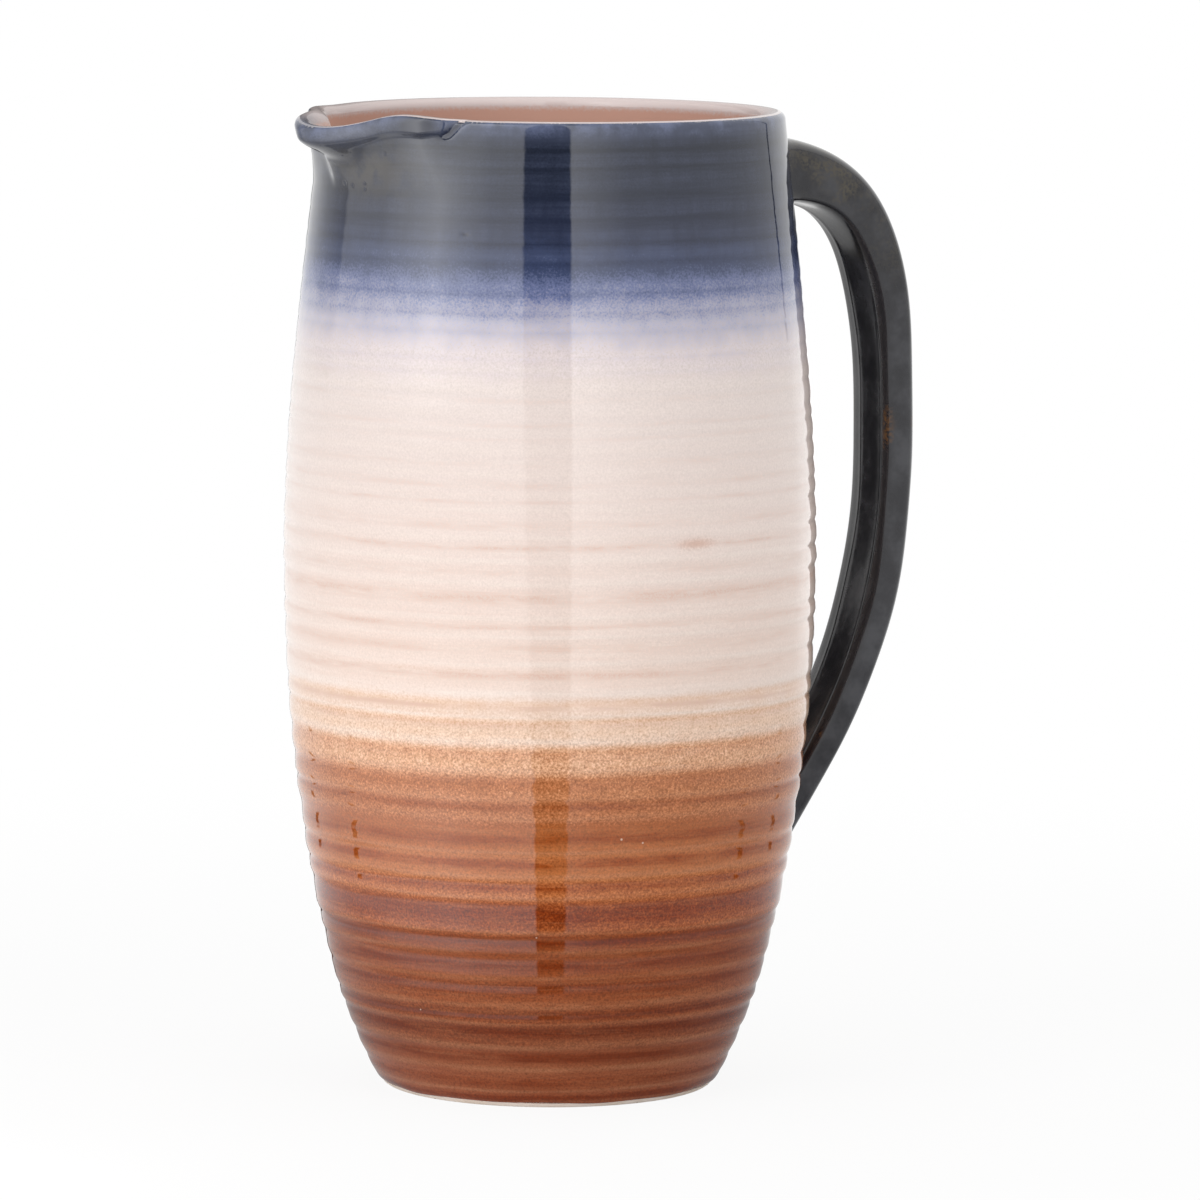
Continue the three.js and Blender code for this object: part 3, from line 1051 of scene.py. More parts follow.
@dataclass
class HandleGlaze(Finish):
    """Glossy near-black glaze of the handle, with painted shade darkening the corners of its section, and
    brown where it breaks over edges.
    """

    name: str = "handle_black_glaze"
    grain_cloud: Cloud = (0.9, 2.0, 0.6, 1.0)
    mottle_cloud: Cloud = (9.0, 3.0, 0.6, 1.0)
    break_cloud: Cloud = (16.0, 4.0, 0.65, 1.0)
    wave_cloud: Cloud = (3.5, 2.0, 0.5, 1.0)
    roughness: float = 0.10
    roughness_range: float = 0.1
    # Black of the glaze, also painted as shade on the corners of the section.
    black: Colour = (0.011, 0.011, 0.015)
    slate: Colour = (0.045, 0.046, 0.053)
    olive: Colour = (0.070, 0.058, 0.038)
    brown: Colour = (0.14, 0.062, 0.016)
    fleck: Colour = (0.26, 0.21, 0.15)
    slate_mottle: Span = (0.35, 0.7)
    root_foot: Span = (196.0, 236.0)
    root_breaks: Span = (0.42, 0.6)
    root_grain: Span = (0.3, 0.65)
    worn_height: float = 168.0
    worn_fade: Fade = ((11.0, 0.0), (0.0, 0.3))
    worn_breaks: Span = (0.66, 0.74)
    worn_grain: Span = (0.35, 0.6)
    fleck_dots: Triple = (24.0, 0.6, 0.25)

    def build(self) -> bpy.types.Material:
        """Make the glaze.

        Returns:
            The material.
        """
        edge = self.mark("edge")
        breaks = self.noise(*self.break_cloud)
        colour = self.mix(self.ease(self.mottle, self.slate_mottle), self.black, self.slate)
        root = self.times(self.ease(self.height, self.root_foot), self.ease(breaks, self.root_breaks))
        colour = self.mix(self.times(root, self.ease(self.grain, self.root_grain)), colour, self.olive)
        # Painted shade: the corners of the section are darkened to black.
        colour = self.mix(edge, colour, self.black)
        away = self.apart(self.height, self.worn_height)
        worn = self.math("ADD", breaks, self.ease(away, *self.worn_fade))
        broken = self.times(self.ease(worn, self.worn_breaks), edge)
        colour = self.mix(self.times(broken, self.ease(self.grain, self.worn_grain)), colour, self.brown)
        colour = self.mix(self.dots(*self.fleck_dots), colour, self.fleck)
        return self.close(colour, self.mottle, self.noise(*self.wave_cloud))


@dataclass
class BareClay(Finish):
    """Dry fired stoneware with a sandy grain."""

    name: str = "bare_clay"
    grain_cloud: Cloud = (0.5, 2.0, 0.7, 1.0)
    mottle_cloud: Cloud = (14.0, 3.0, 0.5, 1.0)
    wave_depth: float = 0.08
    roughness: float = 0.7
    roughness_range: float = 0.2
    ior: float = 1.45
    pale: Colour = (0.88, 0.80, 0.73)
    warm: Colour = (0.80, 0.69, 0.59)
    sand: Colour = (0.30, 0.19, 0.12)
    warm_mottle: Span = (0.35, 0.7)
    sand_dots: Triple = (2.2, 0.3, 0.18)

    def build(self) -> bpy.types.Material:
        """Make the clay.

        Returns:
            The material.
        """
        colour = self.mix(self.ease(self.mottle, self.warm_mottle), self.pale, self.warm)
        colour = self.mix(self.dots(*self.sand_dots), colour, self.sand)
        return self.close(colour, self.grain, self.grain)


@dataclass
class Vessel:
    """Clay body and the coats of glaze on it."""

    wall: ThrownWall
    rust_top: float = 89.0
    rose_top: float = 196.0
    lip_end: float = 60.0
    lip_step: float = 7.5
    coarse_angle: float = 15.0
    lip_reach: float = 60.0
    row: float = 0.7
    fine_row: float = 0.4
    fine_from: float = 229.0
    back_stride: int = 8
    lip_back_stride: int = 2
    under_row: float = 6.0
    throat_from: float = 224.0
    throat_row: float = 0.8
    edge_run: float = 0.9
    edge_row: float = 0.12
    edge_coat: float = 0.06
    edge_waves: Triples = ((0.12, 5.0, 0.0), (0.12, 11.0, 1.0))
    edge_fade: Span = (6.0, 1.2)
    floor: float = 6.0
    inside_corner: float = 14.0
    corner_run: float = 22.0
    inside_row: float = 2.3
    inside_ring_pitch: float = 7.5
    inside_ring_height: float = 0.35
    inside_ring_start: float = 8.0
    inside_ring_end: Span = (2.0, 22.0)
    roll_over: Span = (170.0, 60.0)
    beak_turn: Span = (0.0, 9.0)
    sunk: float = -0.03
    foot_recess: float = 0.3
    foot_ring: float = 6.0
    foot_slope: float = 1.5
    foot_round: float = 0.5
    foot_round_end: float = 60.0
    base_row: float = 0.8
    line_height: float = 0.06
    line_pitch: float = 2.4
    bare_rows: Triple = (0.4, 3.0, 0.3)

    def build(self) -> None:
        """Make and dress the clay body, the inside coat and the three bands."""
        self.build_bands()
        self.build_inside()
        self.build_clay()

    def outer_rows(self) -> tuple[Grid, Grid, Grid, dict[Band, tuple[int, int]]]:
        """Rows of the outer face from the bare foot to the top of the lip.

        Returns:
            Radii on the clay, heights, distances from the lip's crest, and the rows that each band takes.
        """
        wall = self.wall
        levels = (wall.bare_foot, wall.bare_foot + self.edge_run, self.rust_top, self.rose_top,
                  self.fine_from, wall.lip_height)
        heights, ends = stepped(levels, (self.edge_row, self.row, self.row, self.row, self.fine_row))
        lip_rows = wall.lip(spaced(0.0, self.lip_end, self.lip_step)[1:], 0.0)
        wall_rows = (wall.radius(heights), heights, wall.depth(heights))
        radii, heights, depths = (np.concatenate(rows) for rows in zip(wall_rows, lip_rows))
        rows = (0, int(ends[1]), int(ends[2]), len(radii) - 1)
        return radii, heights, depths, dict(zip(Band, zip(rows, rows[1:])))

    def build_bands(self) -> None:
        """Make the three bands as slices of one outer face, so that they meet without a step."""
        wall, spout = self.wall, self.wall.spout
        radii, heights, depths, spans = self.outer_rows()
        turn, height = np.meshgrid(wall.turns, heights)
        bulge = np.minimum(1.0, (height - wall.bare_foot) / self.edge_run)
        full = np.sqrt(np.maximum(0.0, 1.0 - (1.0 - bulge) ** 2))
        coat = self.edge_coat + (wall.glaze - self.edge_coat) * full
        wave = waves(turn, self.edge_waves) * smooth(*self.edge_fade, height)
        lip_rise = np.clip((height - wall.lip_height) / wall.lip_round, 0.0, 1.0)
        pits = spout.pit_depth * spout.pitted(turn, height)
        out = coat * np.sqrt(1.0 - lip_rise ** 2) + wall.rings.relief(turn, height) - pits
        face = wall.turned(radii[:, None] + out, height + wave + coat * lip_rise, rolled=1.0)
        normals = surface_normals(face)
        count = wall.rings.count(turn, height)
        marks = {
            "ring": wall.rings.shape(count),
            "count": count,
            "lip": np.broadcast_to(np.minimum(depths, self.lip_reach)[:, None], turn.shape),
            # This mark holds the pooled glaze under the roll and the painted shade in the crack and the
            # pits.
            "pool": spout.pool(turn, height),
            "warm": spout.warmth(turn, height),
        }
        finish = BandGlaze().build()
        for band, (first, last) in spans.items():
            stride = self.lip_back_stride if band is Band.BLUE else self.back_stride
            under = np.append(np.arange(last, first, -stride), first)
            front = np.arange(first, last + 1)
            points = np.concatenate([face[front], wall.turned(radii[under], heights[under])])
            band_marks = {name: values[np.append(front, under)] for name, values in marks.items()}
            creases = (0, len(front) - 1, len(front), len(points) - 1)
            skin = Skin(points, band_marks, creases=creases, normals=normals[front])
            node = f"{band.value}_glaze"
            dress(skin.piece(f"{band.value}_coat", finish), node)

    def inner_rows(self, off: float, row: float) -> tuple[Grid, Grid]:
        """Rows of the inside from the middle of the floor up to the lip.

        Args:
            off: Distance off the clay.
            row: Distance between rows.

        Returns:
            Radii and heights of the rows.
        """
        wall = self.wall
        foot = self.floor + self.inside_corner
        middle = float(wall.radius(foot)) - wall.wall - self.inside_corner
        bend = self.inside_corner - off
        angle = np.radians(spaced(-90.0, 0.0, 90.0 * row / self.corner_run))
        flat = spaced(0.0, middle, row)[:-1]
        levels = (foot, self.throat_from, wall.lip_height)
        heights = stepped(levels, (row, min(row, self.throat_row)))[0][1:]
        radii = np.concatenate([flat, middle + bend * np.cos(angle), wall.radius(heights) - wall.wall - off])
        rises = np.concatenate([np.full(len(flat), self.floor + off), foot + bend * np.sin(angle), heights])
        return radii, rises

    def build_inside(self) -> None:
        """Make the coat inside the jug and over the lip, with soft spiral rings."""
        wall = self.wall
        radii, heights = self.inner_rows(wall.glaze, self.inside_row)
        along = running(np.hypot(np.diff(radii), np.diff(heights)))
        turn, length = np.meshgrid(wall.turns, along)
        spiral = 0.5 + 0.5 * np.cos(2.0 * np.pi * length / self.inside_ring_pitch + turn)
        stop, fade = (along[-1] - gap for gap in self.inside_ring_end)
        spiral *= smooth(0.0, self.inside_ring_start, length) * smooth(stop, fade, length)
        relief = self.inside_ring_height * spiral
        steep = smooth(self.floor, self.floor + self.inside_corner, heights)[:, None]
        front = wall.turned(radii[:, None] - relief * steep, heights[:, None] + relief * (1.0 - steep))
        lip_angles = spaced(180.0, self.lip_end, self.lip_step)[1:]
        lip_radii, lip_heights, lip_depths = wall.lip(lip_angles, wall.glaze)
        lip = wall.turned(lip_radii, lip_heights, rolled=smooth(*self.roll_over, lip_angles))
        back_lip = wall.lip(spaced(self.lip_end, 180.0, self.coarse_angle)[:-1], 0.0)
        back_rows = self.inner_rows(0.0, self.under_row)
        back = wall.turned(*(np.concatenate([over, up[::-1]]) for over, up in zip(back_lip, back_rows)))
        points = np.concatenate([front, lip, back])
        shape = points.shape[:2]
        depths = np.minimum(self.lip_reach, wall.depth(heights))
        depths = np.concatenate([depths, lip_depths, np.zeros(len(back))])
        marks = {
            "ring": np.concatenate([spiral, np.zeros((len(lip) + len(back), wall.columns))]),
            "lip": np.broadcast_to(depths[:, None], shape),
            "beak": np.broadcast_to(bell(np.degrees(wall.turns), *self.beak_turn), shape),
        }
        edge = len(front) + len(lip) - 1
        facing_in = {name: values[:, ::-1] for name, values in marks.items()}
        skin = Skin(points[:, ::-1], facing_in, ring_shaped=False, creases=(edge, edge + 1))
        dress(skin.piece("inside_coat", InsideGlaze().build()), "inner_glaze")

    def build_clay(self) -> None:
        """Make the clay body, with a softened foot edge and turning lines under the base."""
        wall = self.wall
        ring = wall.foot_radius - self.foot_ring
        flat = wall.foot_radius - self.foot_round
        base = spaced(0.0, flat, self.base_row)
        lines = self.line_height * (0.5 + 0.5 * np.cos(2.0 * np.pi * base / self.line_pitch))
        rise = (self.foot_recess + lines) * smooth(ring + self.foot_slope, ring - self.foot_slope, base)
        edge = np.radians(spaced(0.0, self.foot_round_end, self.coarse_angle)[1:])
        low = spaced(*self.bare_rows)
        levels = (low[-1], self.throat_from, wall.lip_height)
        high = stepped(levels, (self.under_row, self.throat_row))[0][1:]
        lip_radii, lip_heights, _ = wall.lip(spaced(0.0, 180.0, self.coarse_angle)[1:-1], self.sunk)
        inner_radii, inner_heights = self.inner_rows(self.sunk, self.under_row)
        radii = np.concatenate([
            base, flat + self.foot_round * np.sin(edge), wall.radius(low), wall.radius(high) + self.sunk,
            lip_radii, inner_radii[::-1]])
        heights = np.concatenate([
            rise, self.foot_round * (1.0 - np.cos(edge)), low, high, lip_heights, inner_heights[::-1]])
        skin = Skin(wall.turned(radii, heights), ring_shaped=False)
        dress(skin.piece("thrown_clay", BareClay().build()), "clay_body")


@dataclass
class StrapHandle:
    """Pulled strap, the slip that lutes its two ends to the wall, and the coat over all three."""

    wall: ThrownWall
    upper_drop: float = 15.1
    lower_height: float = 45.0
    upper_depth: float = 5.0
    lower_depth: float = 8.0
    grip_height: float = 162.0
    finger_gap: float = 25.5
    thickness: float = 9.2
    width: float = 21.0
    root_swell: float = 6.0
    root_taper: float = 36.0
    tail_thickness: float = 6.8
    tail_width: float = 22.0
    shoulder_out: float = 38.0
    shoulder_up: float = 46.0
    grip_down: float = 46.0
    tail_up: float = 44.0
    tail_out: float = 34.0
    upper_lute: float = 13.0
    lower_lute: float = 42.0
    least_lute: float = 0.5
    fillet: float = 1.6
    fillet_reach: float = 6.0
    coat: float = 0.4
    coat_end: float = 0.25
    core_end: float = 0.2
    core_sunk: float = -0.05
    sides: int = 120
    path_points: int = 800
    outline_points: int = 2881
    step: float = 1.0
    back_step: float = 4.0
    core_step: float = 3.0
    probe: float = 0.25
    crowding: float = 0.09
    wander: Triples = ((0.35, 1.0 / 13.0, 0.0), (0.25, 1.0 / 6.1, 1.3))
    channel: float = 0.3
    channel_from: float = 50.0
    channel_run: float = 26.0
    channel_edge: Span = (-0.76, -0.62)
    channel_sway: float = 0.12
    channel_side: Span = (0.2, -0.6)
    far_from: float = 0.3
    far_slope: float = 0.14
    far_ridge: float = 0.1
    ridge_place: Span = (0.32, 0.08)
    belly: float = 0.9
    inner_lean: float = 0.5
    outer_lean: float = 0.125
    side_sway: float = 0.6
    outer_round: float = 0.66
    inner_round: float = 0.35
    corner_across: Span = (0.9, 0.12)
    corner_through: Span = (0.85, 0.3)
    slip_pale: Colour = (0.66, 0.56, 0.46)
    slip_warm: Colour = (0.55, 0.43, 0.33)

    def __post_init__(self) -> None:
        """Measure the path and the section once."""
        self.path, self.tangents, self.stations = self.walk()
        self.length = float(self.stations[-1])
        self.across, self.through = self.outline()

    def outline(self) -> tuple[Grid, Grid]:
        """Outline of the section with its points evenly apart.

        Returns:
            Sideways and outward shares, from -1 to 1.
        """
        angle = np.linspace(0.0, 2.0 * np.pi, self.outline_points)
        power = np.where(np.sin(angle) > 0.0, self.outer_round, self.inner_round)
        across, through = (np.sign(part) * np.abs(part) ** power for part in (np.cos(angle), np.sin(angle)))
        length = running(np.hypot(np.diff(across) * self.width, np.diff(through) * self.thickness))
        even = (np.arange(self.sides) + 0.5) / self.sides * length[-1]
        return np.interp(even, length, across), np.interp(even, length, through)

    def walk(self) -> tuple[Grid, Grid, Grid]:
        """Lay the path from the upper root round the grip to the lower root.

        Returns:
            Points of the path as x and z, unit tangents, and distances along it.
        """
        wall = self.wall
        high, low = RIM_HEIGHT - self.upper_drop, self.lower_height
        upper = np.array([float(wall.radius(high)) - self.upper_depth, high])
        lower = np.array([float(wall.radius(low)) - self.lower_depth, low])
        belly = wall.knots[2][1]
        grip = np.array([belly + self.finger_gap + self.thickness / 2.0, self.grip_height])
        t = np.linspace(0.0, 1.0, self.path_points)[:, None]
        shoulder = bezier(t, upper, upper + (self.shoulder_out, 0.0), grip + (0.0, self.shoulder_up), grip)
        tail = bezier(t, grip, grip - (0.0, self.grip_down), lower + (self.tail_out, self.tail_up), lower)
        points = np.concatenate([shoulder, tail[1:]])
        tangents = np.gradient(points, axis=0)
        tangents /= np.linalg.norm(tangents, axis=1, keepdims=True)
        return points, tangents, running(np.linalg.norm(np.diff(points, axis=0), axis=1))

    def section(self, along: Grid, growth: float) -> Grid:
        """Points of the strap's sections, fuller outside and with a shallow channel inside.

        Args:
            along: Distances along the path, rows by sides.
            growth: Distance off the bare strap.

        Returns:
            Points, rows by sides by 3.
        """
        across = np.broadcast_to(self.across, along.shape)
        through = np.broadcast_to(self.through, along.shape)
        share = along / self.length
        swell = self.root_swell * bell(along, 0.0, self.root_taper)
        width = self.width + (self.tail_width - self.width) * share + swell
        thickness = self.thickness + (self.tail_thickness - self.thickness) * share + swell
        wander = waves(along, self.wander)
        shift = across + self.channel_sway * wander
        channel = self.channel * smooth(self.channel_from, self.channel_from + self.channel_run, along)
        fall = np.maximum(0.0, shift - self.far_from) * width / 2.0 * self.far_slope - self.belly
        ridge = self.far_ridge * bell(shift, *self.ridge_place)
        dish = channel * smooth(*self.channel_edge, shift) + fall - ridge
        lean = wander * across * np.where(through < 0.0, self.inner_lean, self.outer_lean)
        out = through * (thickness / 2.0 + growth) + dish * smooth(*self.channel_side, through) + lean
        side = across * (width / 2.0 + growth) + self.side_sway * wander
        return self.set_out(along, out, side)

    def set_out(self, along: Grid, out: Grid, side: Grid) -> Grid:
        """Place points square to the path.

        Args:
            along: Distances along the path.
            out: Distances outwards from it.
            side: Distances sideways from it.

        Returns:
            Points in the part's frame.
        """
        x, z = (np.interp(along, self.stations, values) for values in self.path.T)
        ahead_x, ahead_z = (np.interp(along, self.stations, values) for values in self.tangents.T)
        return np.stack([x - ahead_z * out, side, z + ahead_x * out], axis=-1)

    def standoff(self, points: Grid) -> Grid:
        """Distance of points from the face of the wall."""
        return np.hypot(points[..., 0], points[..., 1]) - self.wall.radius(points[..., 2])

    def landed(self, along: Grid, growth: float) -> Grid:
        """Sections with a fillet of slip where the strap nears the wall.

        Args:
            along: Distances along the path, rows by sides.
            growth: Distance off the bare strap.

        Returns:
            Points, rows by sides by 3.
        """
        bare = self.section(along, growth)
        grown = self.section(along, growth + self.fillet)
        gap = np.maximum(0.0, self.standoff(bare))
        share = np.maximum(0.0, 1.0 - gap / self.fillet_reach) ** 2
        return bare + (grown - bare) * share[..., None]

    def ends(self, growth: float, depth: float) -> tuple[Grid, Grid]:
        """Where each line of the strap leaves the wall and meets it again.

        Args:
            growth: Distance off the bare strap.
            depth: Distance off the clay at which the lines end.

        Returns:
            First and last distance along the path for each line.
        """
        rows = spaced(0.0, self.length, self.probe)
        along = np.broadcast_to(rows[:, None], (len(rows), self.sides))
        clear = self.standoff(self.landed(along, growth)) > depth
        middle = len(rows) // 2
        first = middle - np.argmin(clear[middle::-1], axis=0)
        last = middle + np.argmin(clear[middle:], axis=0)
        first = np.where(clear[:middle + 1].all(axis=0), 0, first)
        last = np.where(clear[middle:].all(axis=0), len(rows) - 1, last)
        return rows[first], rows[last]

    def tube(self, growth: float, depth: float, step: float) -> Grid:
        """Lines of the strap from wall to wall, with rows closest at the two ends.

        Args:
            growth: Distance off the bare strap.
            depth: Distance off the clay at which the lines end.
            step: Usual distance between rows.

        Returns:
            Points, rows by sides by 3.
        """
        first, last = self.ends(growth, depth)
        even = np.linspace(0.0, 1.0, round(self.length / step) + 1)
        share = even - self.crowding * np.sin(2.0 * np.pi * even)
        return self.landed(first + (last - first) * share[:, None], growth)

    def build(self) -> None:
        """Make and dress the strap, the two lutes and the coat."""
        outer = self.tube(self.coat, self.coat_end, self.step)
        inner = self.tube(0.0, self.core_end, self.back_step)[::-1]
        points = np.concatenate([outer, inner])
        # The corner mark carries painted shade, which darkens the corners to black, and the real brown glaze
        # breaks.
        corner = bell(np.abs(self.across), *self.corner_across)
        corner *= bell(np.abs(self.through), *self.corner_through)
        marks = {"edge": np.broadcast_to(corner, points.shape[:2])}
        rows = len(outer)
        skin = Skin(points, marks, creases=(0, rows - 1, rows, len(points) - 1))
        dress(skin.piece("handle_coat", HandleGlaze().build()), "handle_glaze")

        clay = BareClay().build()
        slip = BareClay("luting_slip", pale=self.slip_pale, warm=self.slip_warm).build()
        first, last = self.ends(self.core_sunk, self.core_end)
        top = np.full(self.sides, self.upper_lute)
        bottom = np.full(self.sides, self.length - self.lower_lute)
        first = np.minimum(first, top - self.least_lute)
        last = np.maximum(last, bottom + self.least_lute)
        dress(self.core("strap_core", top, bottom, clay), "handle_strap")
        dress(self.core("upper_slip", first, top, slip), "upper_lute")
        dress(self.core("lower_slip", bottom, last, slip), "lower_lute")

    def core(self, name: str, first: Grid, last: Grid, finish: bpy.types.Material) -> bpy.types.Object:
        """A closed length of bare strap.

        Args:
            name: Name of the new object.
            first: Where each of its lines starts.
            last: Where each of its lines ends.
            finish: Material to dress it in.

        Returns:
            The new object.
        """
        rows = max(3, round(float(np.max(last - first)) / self.core_step))
        share = np.linspace(0.0, 1.0, rows)[:, None]
        lines = self.landed(first + (last - first) * share, self.core_sunk)
        start, end = (np.broadcast_to(ring.mean(axis=0), (1, *ring.shape)) for ring in (lines[0], lines[-1]))
        points = np.concatenate([start, lines, end])
        return Skin(points, ring_shaped=False, creases=(1, len(points) - 2)).piece(name, finish)


@dataclass
class Studio:
    """Plain white studio: camera, floor, world, soft lamps, and a light tent that only shows in the gloss.

    Directions on the tent are in degrees from the camera. A lamp has a name, its places to the right, away
    and up, its size and its power. A stand has its direction, its foot, its head and half its width.
    """

    azimuth: float = -27.0
    distance: float = 2095.0
    camera_height: float = 368.0
    pitch: float = 6.633
    yaw: float = -0.350
    roll: float = -0.399
    lens: float = 247.08
    sensor: float = 36.0
    clip_end: float = 50.0
    ambient: float = 0.41
    floor_radius: float = 9000.0
    floor_sides: int = 64
    floor_white: Colour = (0.9, 0.9, 0.9)
    floor_glow: float = 0.91
    shadow_from: float = 150.0
    shadow_to: float = 600.0
    lamps: tuple[tuple[str, float, float, float, float, float], ...] = (
        ("key_lamp", -1250.0, -1200.0, 800.0, 1200.0, 12.9),
        ("fill_lamp", 1200.0, -1300.0, 800.0, 1200.0, 9.4),
        ("top_lamp", 0.0, 100.0, 1800.0, 1400.0, 10.0),
        ("low_lamp", -170.0, -155.0, 12.0, 120.0, 0.1),
    )
    lamp_aim: float = 120.0
    lamp_tilt: float = 30.0
    tent_near: float = 112.0
    tent_far: float = 155.0
    tent_turn: Span = (38.71, 58.065)
    tent_top: float = 520.0
    tent_rows: Triple = (1.0, 262.0, 5.0)
    tent_rays: int = 1201
    behind_rays: int = 61
    wall_radius: float = 64.0
    glow_levels: tuple[float, ...] = (0.0, 25.0, 70.0, 110.0, 170.0, 215.0, 520.0)
    glow_low: Knots = (
        (-180.0, 1.0), (-116.0, 1.3), (-90.0, 1.8), (-50.0, 2.4), (-30.0, 2.0), (-3.0, 1.8),
        (0.0, 1.3), (24.0, 0.85), (60.0, 0.65), (131.0, 0.75), (180.0, 1.0))
    glow_middle: Knots = (
        (-180.0, 1.0), (-150.0, 1.2), (-90.0, 1.2), (-56.0, 1.25), (-30.0, 1.2), (-3.0, 1.3),
        (0.0, 1.8), (10.0, 1.8), (24.0, 1.5), (36.0, 1.3), (60.0, 1.2), (131.0, 1.2),
        (140.0, 1.5), (160.0, 1.5), (180.0, 1.2))
    glow_high: Knots = (
        (-180.0, 1.0), (-150.0, 1.1), (-117.0, 0.7), (-115.0, 1.4), (-90.0, 2.0), (-72.0, 3.4),
        (-56.0, 4.7), (-44.0, 3.4), (-30.0, 2.3), (-3.0, 2.0), (0.0, 2.7), (9.4, 2.7),
        (24.0, 2.0), (36.0, 1.4), (60.0, 1.2), (131.0, 1.0), (140.0, 1.2), (180.0, 1.0))
    slit_glow: float = 0.08
    slit_left: Knots = ((0.0, -6.0), (60.0, -6.5), (240.0, -14.0), (520.0, -14.0))
    slit_right: float = 8.8
    slit_edge: float = 0.7
    stand_glow: float = 0.05
    stand_edge: float = 0.6
    stands: tuple[Fourfold, ...] = (
        (132.8, 195.0, 520.0, 0.4), (130.0, 46.0, 60.0, 1.4), (103.0, 38.0, 52.0, 1.4),
        (-104.0, 38.0, 52.0, 1.4), (-139.0, 46.0, 60.0, 1.4))
    flag: Span = (189.0, 211.0)
    flag_edge: float = 1.0
    flag_glow: float = 0.04
    back_glow: float = 0.55
    apron: Triple = (20.0, 96.0, 110.0)
    apron_glow: float = 0.48
    apron_end: float = 0.98
    floor_shade: Knots = ((-180.0, 0.5), (-60.0, 0.42), (0.0, 0.26), (60.0, 0.24), (180.0, 0.5))

    def build(self) -> None:
        """Set up everything that isn't part of the jug."""
        bpy.context.scene.view_settings.view_transform = "Standard"
        self.build_camera()
        self.build_world()
        self.build_floor()
        self.build_lamps()
        self.build_tent()

    def axes(self) -> tuple[Vector, Vector]:
        """Level directions to the right of the camera and away from it.

        Returns:
            The two directions.
        """
        turn = math.radians(self.azimuth)
        right = Vector((math.cos(turn), math.sin(turn), 0.0))
        away = Vector((-math.sin(turn), math.cos(turn), 0.0))
        return right, away

    def build_camera(self) -> None:
        """Stand the camera at the photograph's angle."""
        right, away = self.axes()
        yaw, pitch, roll = (math.radians(angle) for angle in (self.yaw, self.pitch, self.roll))
        up = Vector((0.0, 0.0, 1.0))
        level_right = math.cos(yaw) * right + math.sin(yaw) * away
        level_ahead = -math.sin(yaw) * right + math.cos(yaw) * away
        ahead = math.cos(pitch) * level_ahead - math.sin(pitch) * up
        raised = math.sin(pitch) * level_ahead + math.cos(pitch) * up
        camera_right = math.cos(roll) * level_right - math.sin(roll) * raised
        camera_up = math.sin(roll) * level_right + math.cos(roll) * raised
        data = bpy.data.cameras.new("camera")
        data.sensor_width = self.sensor
        data.lens = self.lens
        data.clip_end = self.clip_end
        camera = placed("camera", data)
        turn = Matrix((camera_right, camera_up, -ahead)).transposed().to_4x4()
        place = (-self.distance * away + self.camera_height * up) * METRES
        camera.matrix_world = Matrix.Translation(place) @ turn
        bpy.context.scene.camera = camera

    def build_world(self) -> None:
        """Make a white world that lights the jug at a plain level."""
        world = bpy.data.worlds.new("studio_world")
        bpy.context.scene.world = world
        world.use_nodes = True
        bench = Bench(world.node_tree)
        background = bench.tree.nodes["Background"]
        bench.feed(background.inputs["Color"], (1.0, 1.0, 1.0))
        strength = bench.node("MapRange", {"Value": bench.seen(), "To Min": self.ambient, "To Max": 1.0})
        bench.feed(background.inputs["Strength"], strength.outputs[0])

    def build_floor(self) -> None:
        """Lay a plain white floor that keeps a soft shadow."""
        turns = np.linspace(0.0, 2.0 * np.pi, self.floor_sides, endpoint=False)
        rim = np.stack([np.cos(turns), np.sin(turns), np.zeros_like(turns)], axis=1)
        mesh = bpy.data.meshes.new("floor")
        mesh.from_pydata((rim * self.floor_radius * METRES).tolist(), [], [list(range(self.floor_sides))])
        white = Finish("floor_white")
        position = white.node("NewGeometry").outputs["Position"]
        away = white.node("VectorMath", {0: position}, operation="LENGTH").outputs["Value"]
        reach = (self.shadow_from * METRES, self.shadow_to * METRES)
        share = white.times(white.seen(), white.ease(away, reach, (self.floor_glow, 1.0)))
        diffuse = white.node("BsdfDiffuse", {"Color": self.floor_white})
        glow = white.node("Emission")
        mixed = white.node("MixShader", {0: share, 1: diffuse.outputs[0], 2: glow.outputs[0]})
        mesh.materials.append(white.show(mixed))
        placed("floor", mesh)

    def build_lamps(self) -> None:
        """Hang soft lamps that light the clay but don't show in the gloss."""
        right, away = self.axes()
        for name, side, back, high, size, power in self.lamps:
            data = bpy.data.lights.new(name, "AREA")
            data.size = size * METRES
            data.energy = power
            lamp = placed(name, data)
            place = side * right + back * away + Vector((0.0, 0.0, high))
            aim = Vector((0.0, 0.0, min(self.lamp_aim, high + self.lamp_tilt))) - place
            turn = aim.to_track_quat("-Z", "Y").to_matrix().to_4x4()
            lamp.matrix_world = Matrix.Translation(place * METRES) @ turn
            lamp.visible_glossy = False
            lamp.visible_camera = False

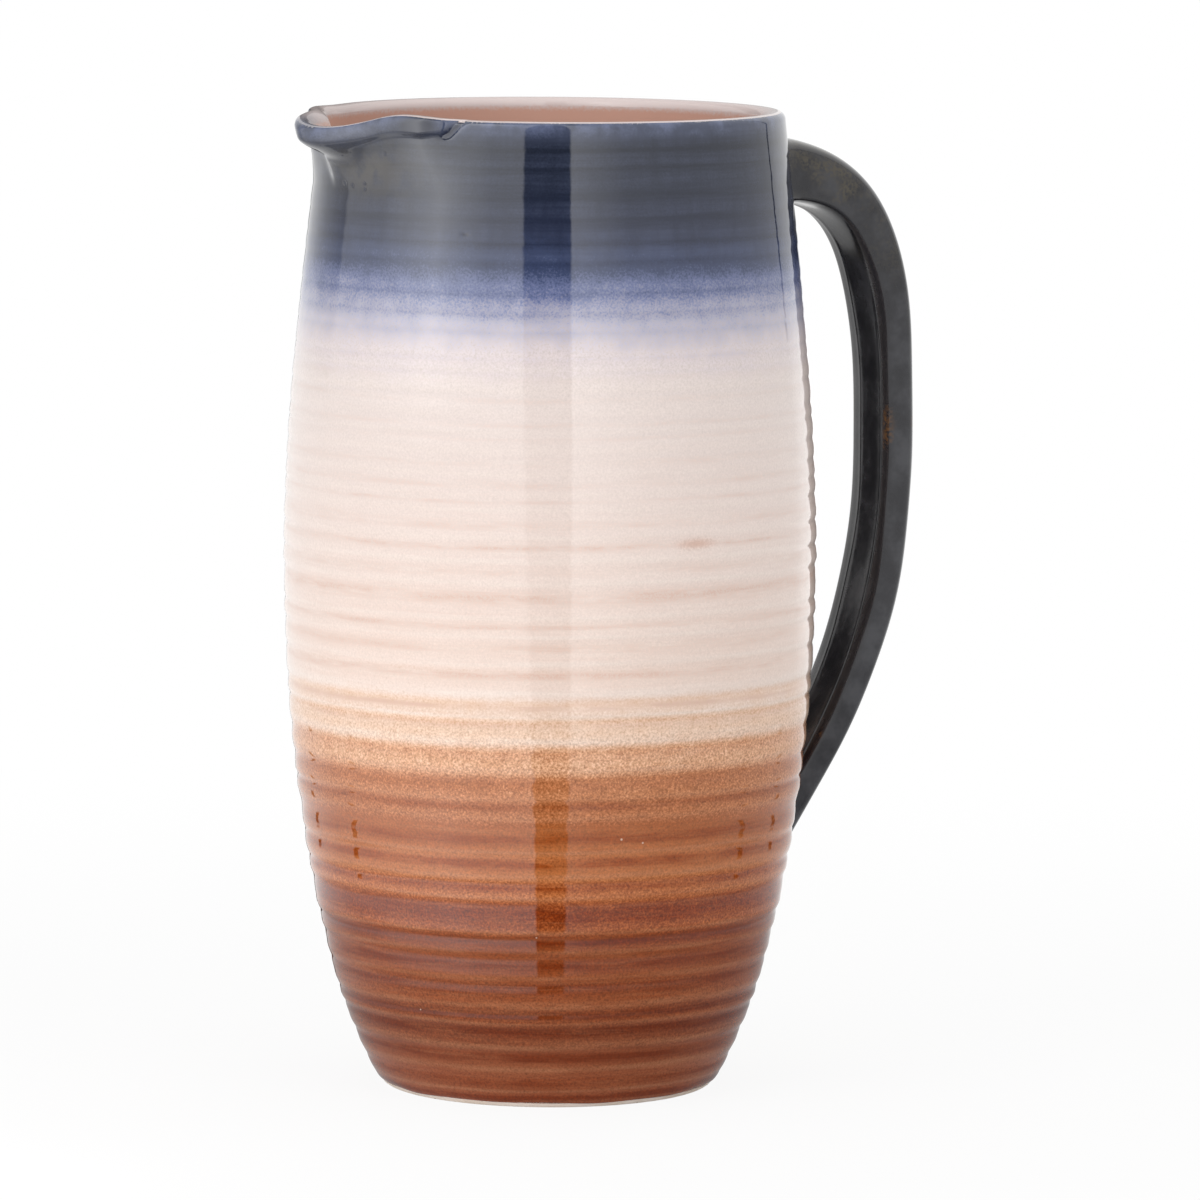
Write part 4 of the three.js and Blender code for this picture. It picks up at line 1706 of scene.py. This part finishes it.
    def wall_glow(self, direction: Grid, height: Grid) -> Grid:
        """Glow of the tent's wall.

        Args:
            direction: Angles from the camera at which the jug's wall mirrors the tent.
            height: Heights on the tent, one per row.

        Returns:
            Glow, rows by directions.
        """
        knots = (self.glow_low, self.glow_middle, self.glow_high)
        low, middle, high = (along_knots(direction, level) for level in knots)
        levels = np.stack([self.apron_glow * low, low, low, middle, middle, high, high])
        row = np.interp(height, self.glow_levels, np.arange(len(levels)))
        under = np.minimum(row.astype(int), len(levels) - 2)
        below, above = levels[under[:, 0]], levels[under[:, 0] + 1]
        glow = below + (above - below) * (row - under)
        edge = self.slit_edge
        left = direction - along_knots(height, self.slit_left)
        slit = smooth(-edge, edge, left) * smooth(edge, -edge, direction - self.slit_right)
        glow = glow + (self.slit_glow - glow) * slit
        for where, foot, head, width in self.stands:
            near = smooth(width + self.stand_edge, width, np.abs(direction - where))
            stand = near * ((height >= foot) & (height <= head))
            glow = glow + (self.stand_glow - glow) * stand
        return glow

    def build_tent(self) -> None:
        """Stand a glowing tent round the jug, with a dark slit for the lens, that only the gloss sees."""
        right, away = self.axes()
        rays = np.linspace(-90.0, 90.0, self.tent_rays)
        near = self.tent_near + (self.tent_far - self.tent_near) * smooth(*self.tent_turn, np.abs(rays))
        mirrored = np.degrees(np.arcsin(self.wall_radius * np.sin(np.radians(rays)) / near))
        bearing = 2.0 * rays - mirrored
        behind = np.linspace(bearing[-1], 360.0 + bearing[0], self.behind_rays)[1:-1]
        wall_heights = np.append(np.arange(*self.tent_rows), self.tent_top)[:, None]
        back_glow = np.full((len(wall_heights), len(behind)), self.back_glow)
        wall_glow = np.concatenate([self.wall_glow(2.0 * rays, wall_heights), back_glow], axis=1)
        bearing = np.append(bearing, behind)
        (first, last), edge = self.flag, self.flag_edge
        flagged = smooth(first - edge, first, bearing % 360.0) * smooth(last + edge, last, bearing % 360.0)
        wall_glow = wall_glow + (self.flag_glow - wall_glow) * flagged
        shade = along_knots(2.0 * rays, self.floor_shade)
        shade = np.append(shade, np.full_like(behind, shade[-1]))
        near = np.append(near, np.full_like(behind, near[-1]))
        floor_radii = [*(np.full_like(near, radius) for radius in self.apron), near * self.apron_end]
        radii = np.concatenate([floor_radii, np.tile(near, (len(wall_heights), 1))])
        heights = np.append([self.tent_rows[0]] * len(floor_radii), wall_heights)
        glows = np.concatenate([[shade, shade, wall_glow[0], wall_glow[0]], wall_glow])
        turn = np.radians(bearing)
        points = np.multiply.outer(radii * np.sin(turn), np.array(right))
        points -= np.multiply.outer(radii * np.cos(turn), np.array(away))
        points[..., 2] = heights[:, None]
        finish = Finish("tent_glow")
        finish.show(finish.node("Emission", {"Strength": finish.mark("glow")}))
        finish.material.cycles.emission_sampling = "NONE"
        tent = Skin(points, {"glow": glows}, ring_shaped=False).piece("light_tent", finish.material)
        for kind in ("camera", "diffuse", "transmission", "volume_scatter", "shadow"):
            setattr(tent, f"visible_{kind}", False)


def main() -> None:
    """Build the studio, the vessel and the handle."""
    logging.basicConfig(level=logging.INFO, format="%(name)s: %(message)s")
    Studio().build()
    log.info("studio ready")
    wall = ThrownWall()
    Vessel(wall).build()
    log.info("vessel ready")
    StrapHandle(wall).build()
    log.info("handle ready")


if __name__ == "__main__":
    main()
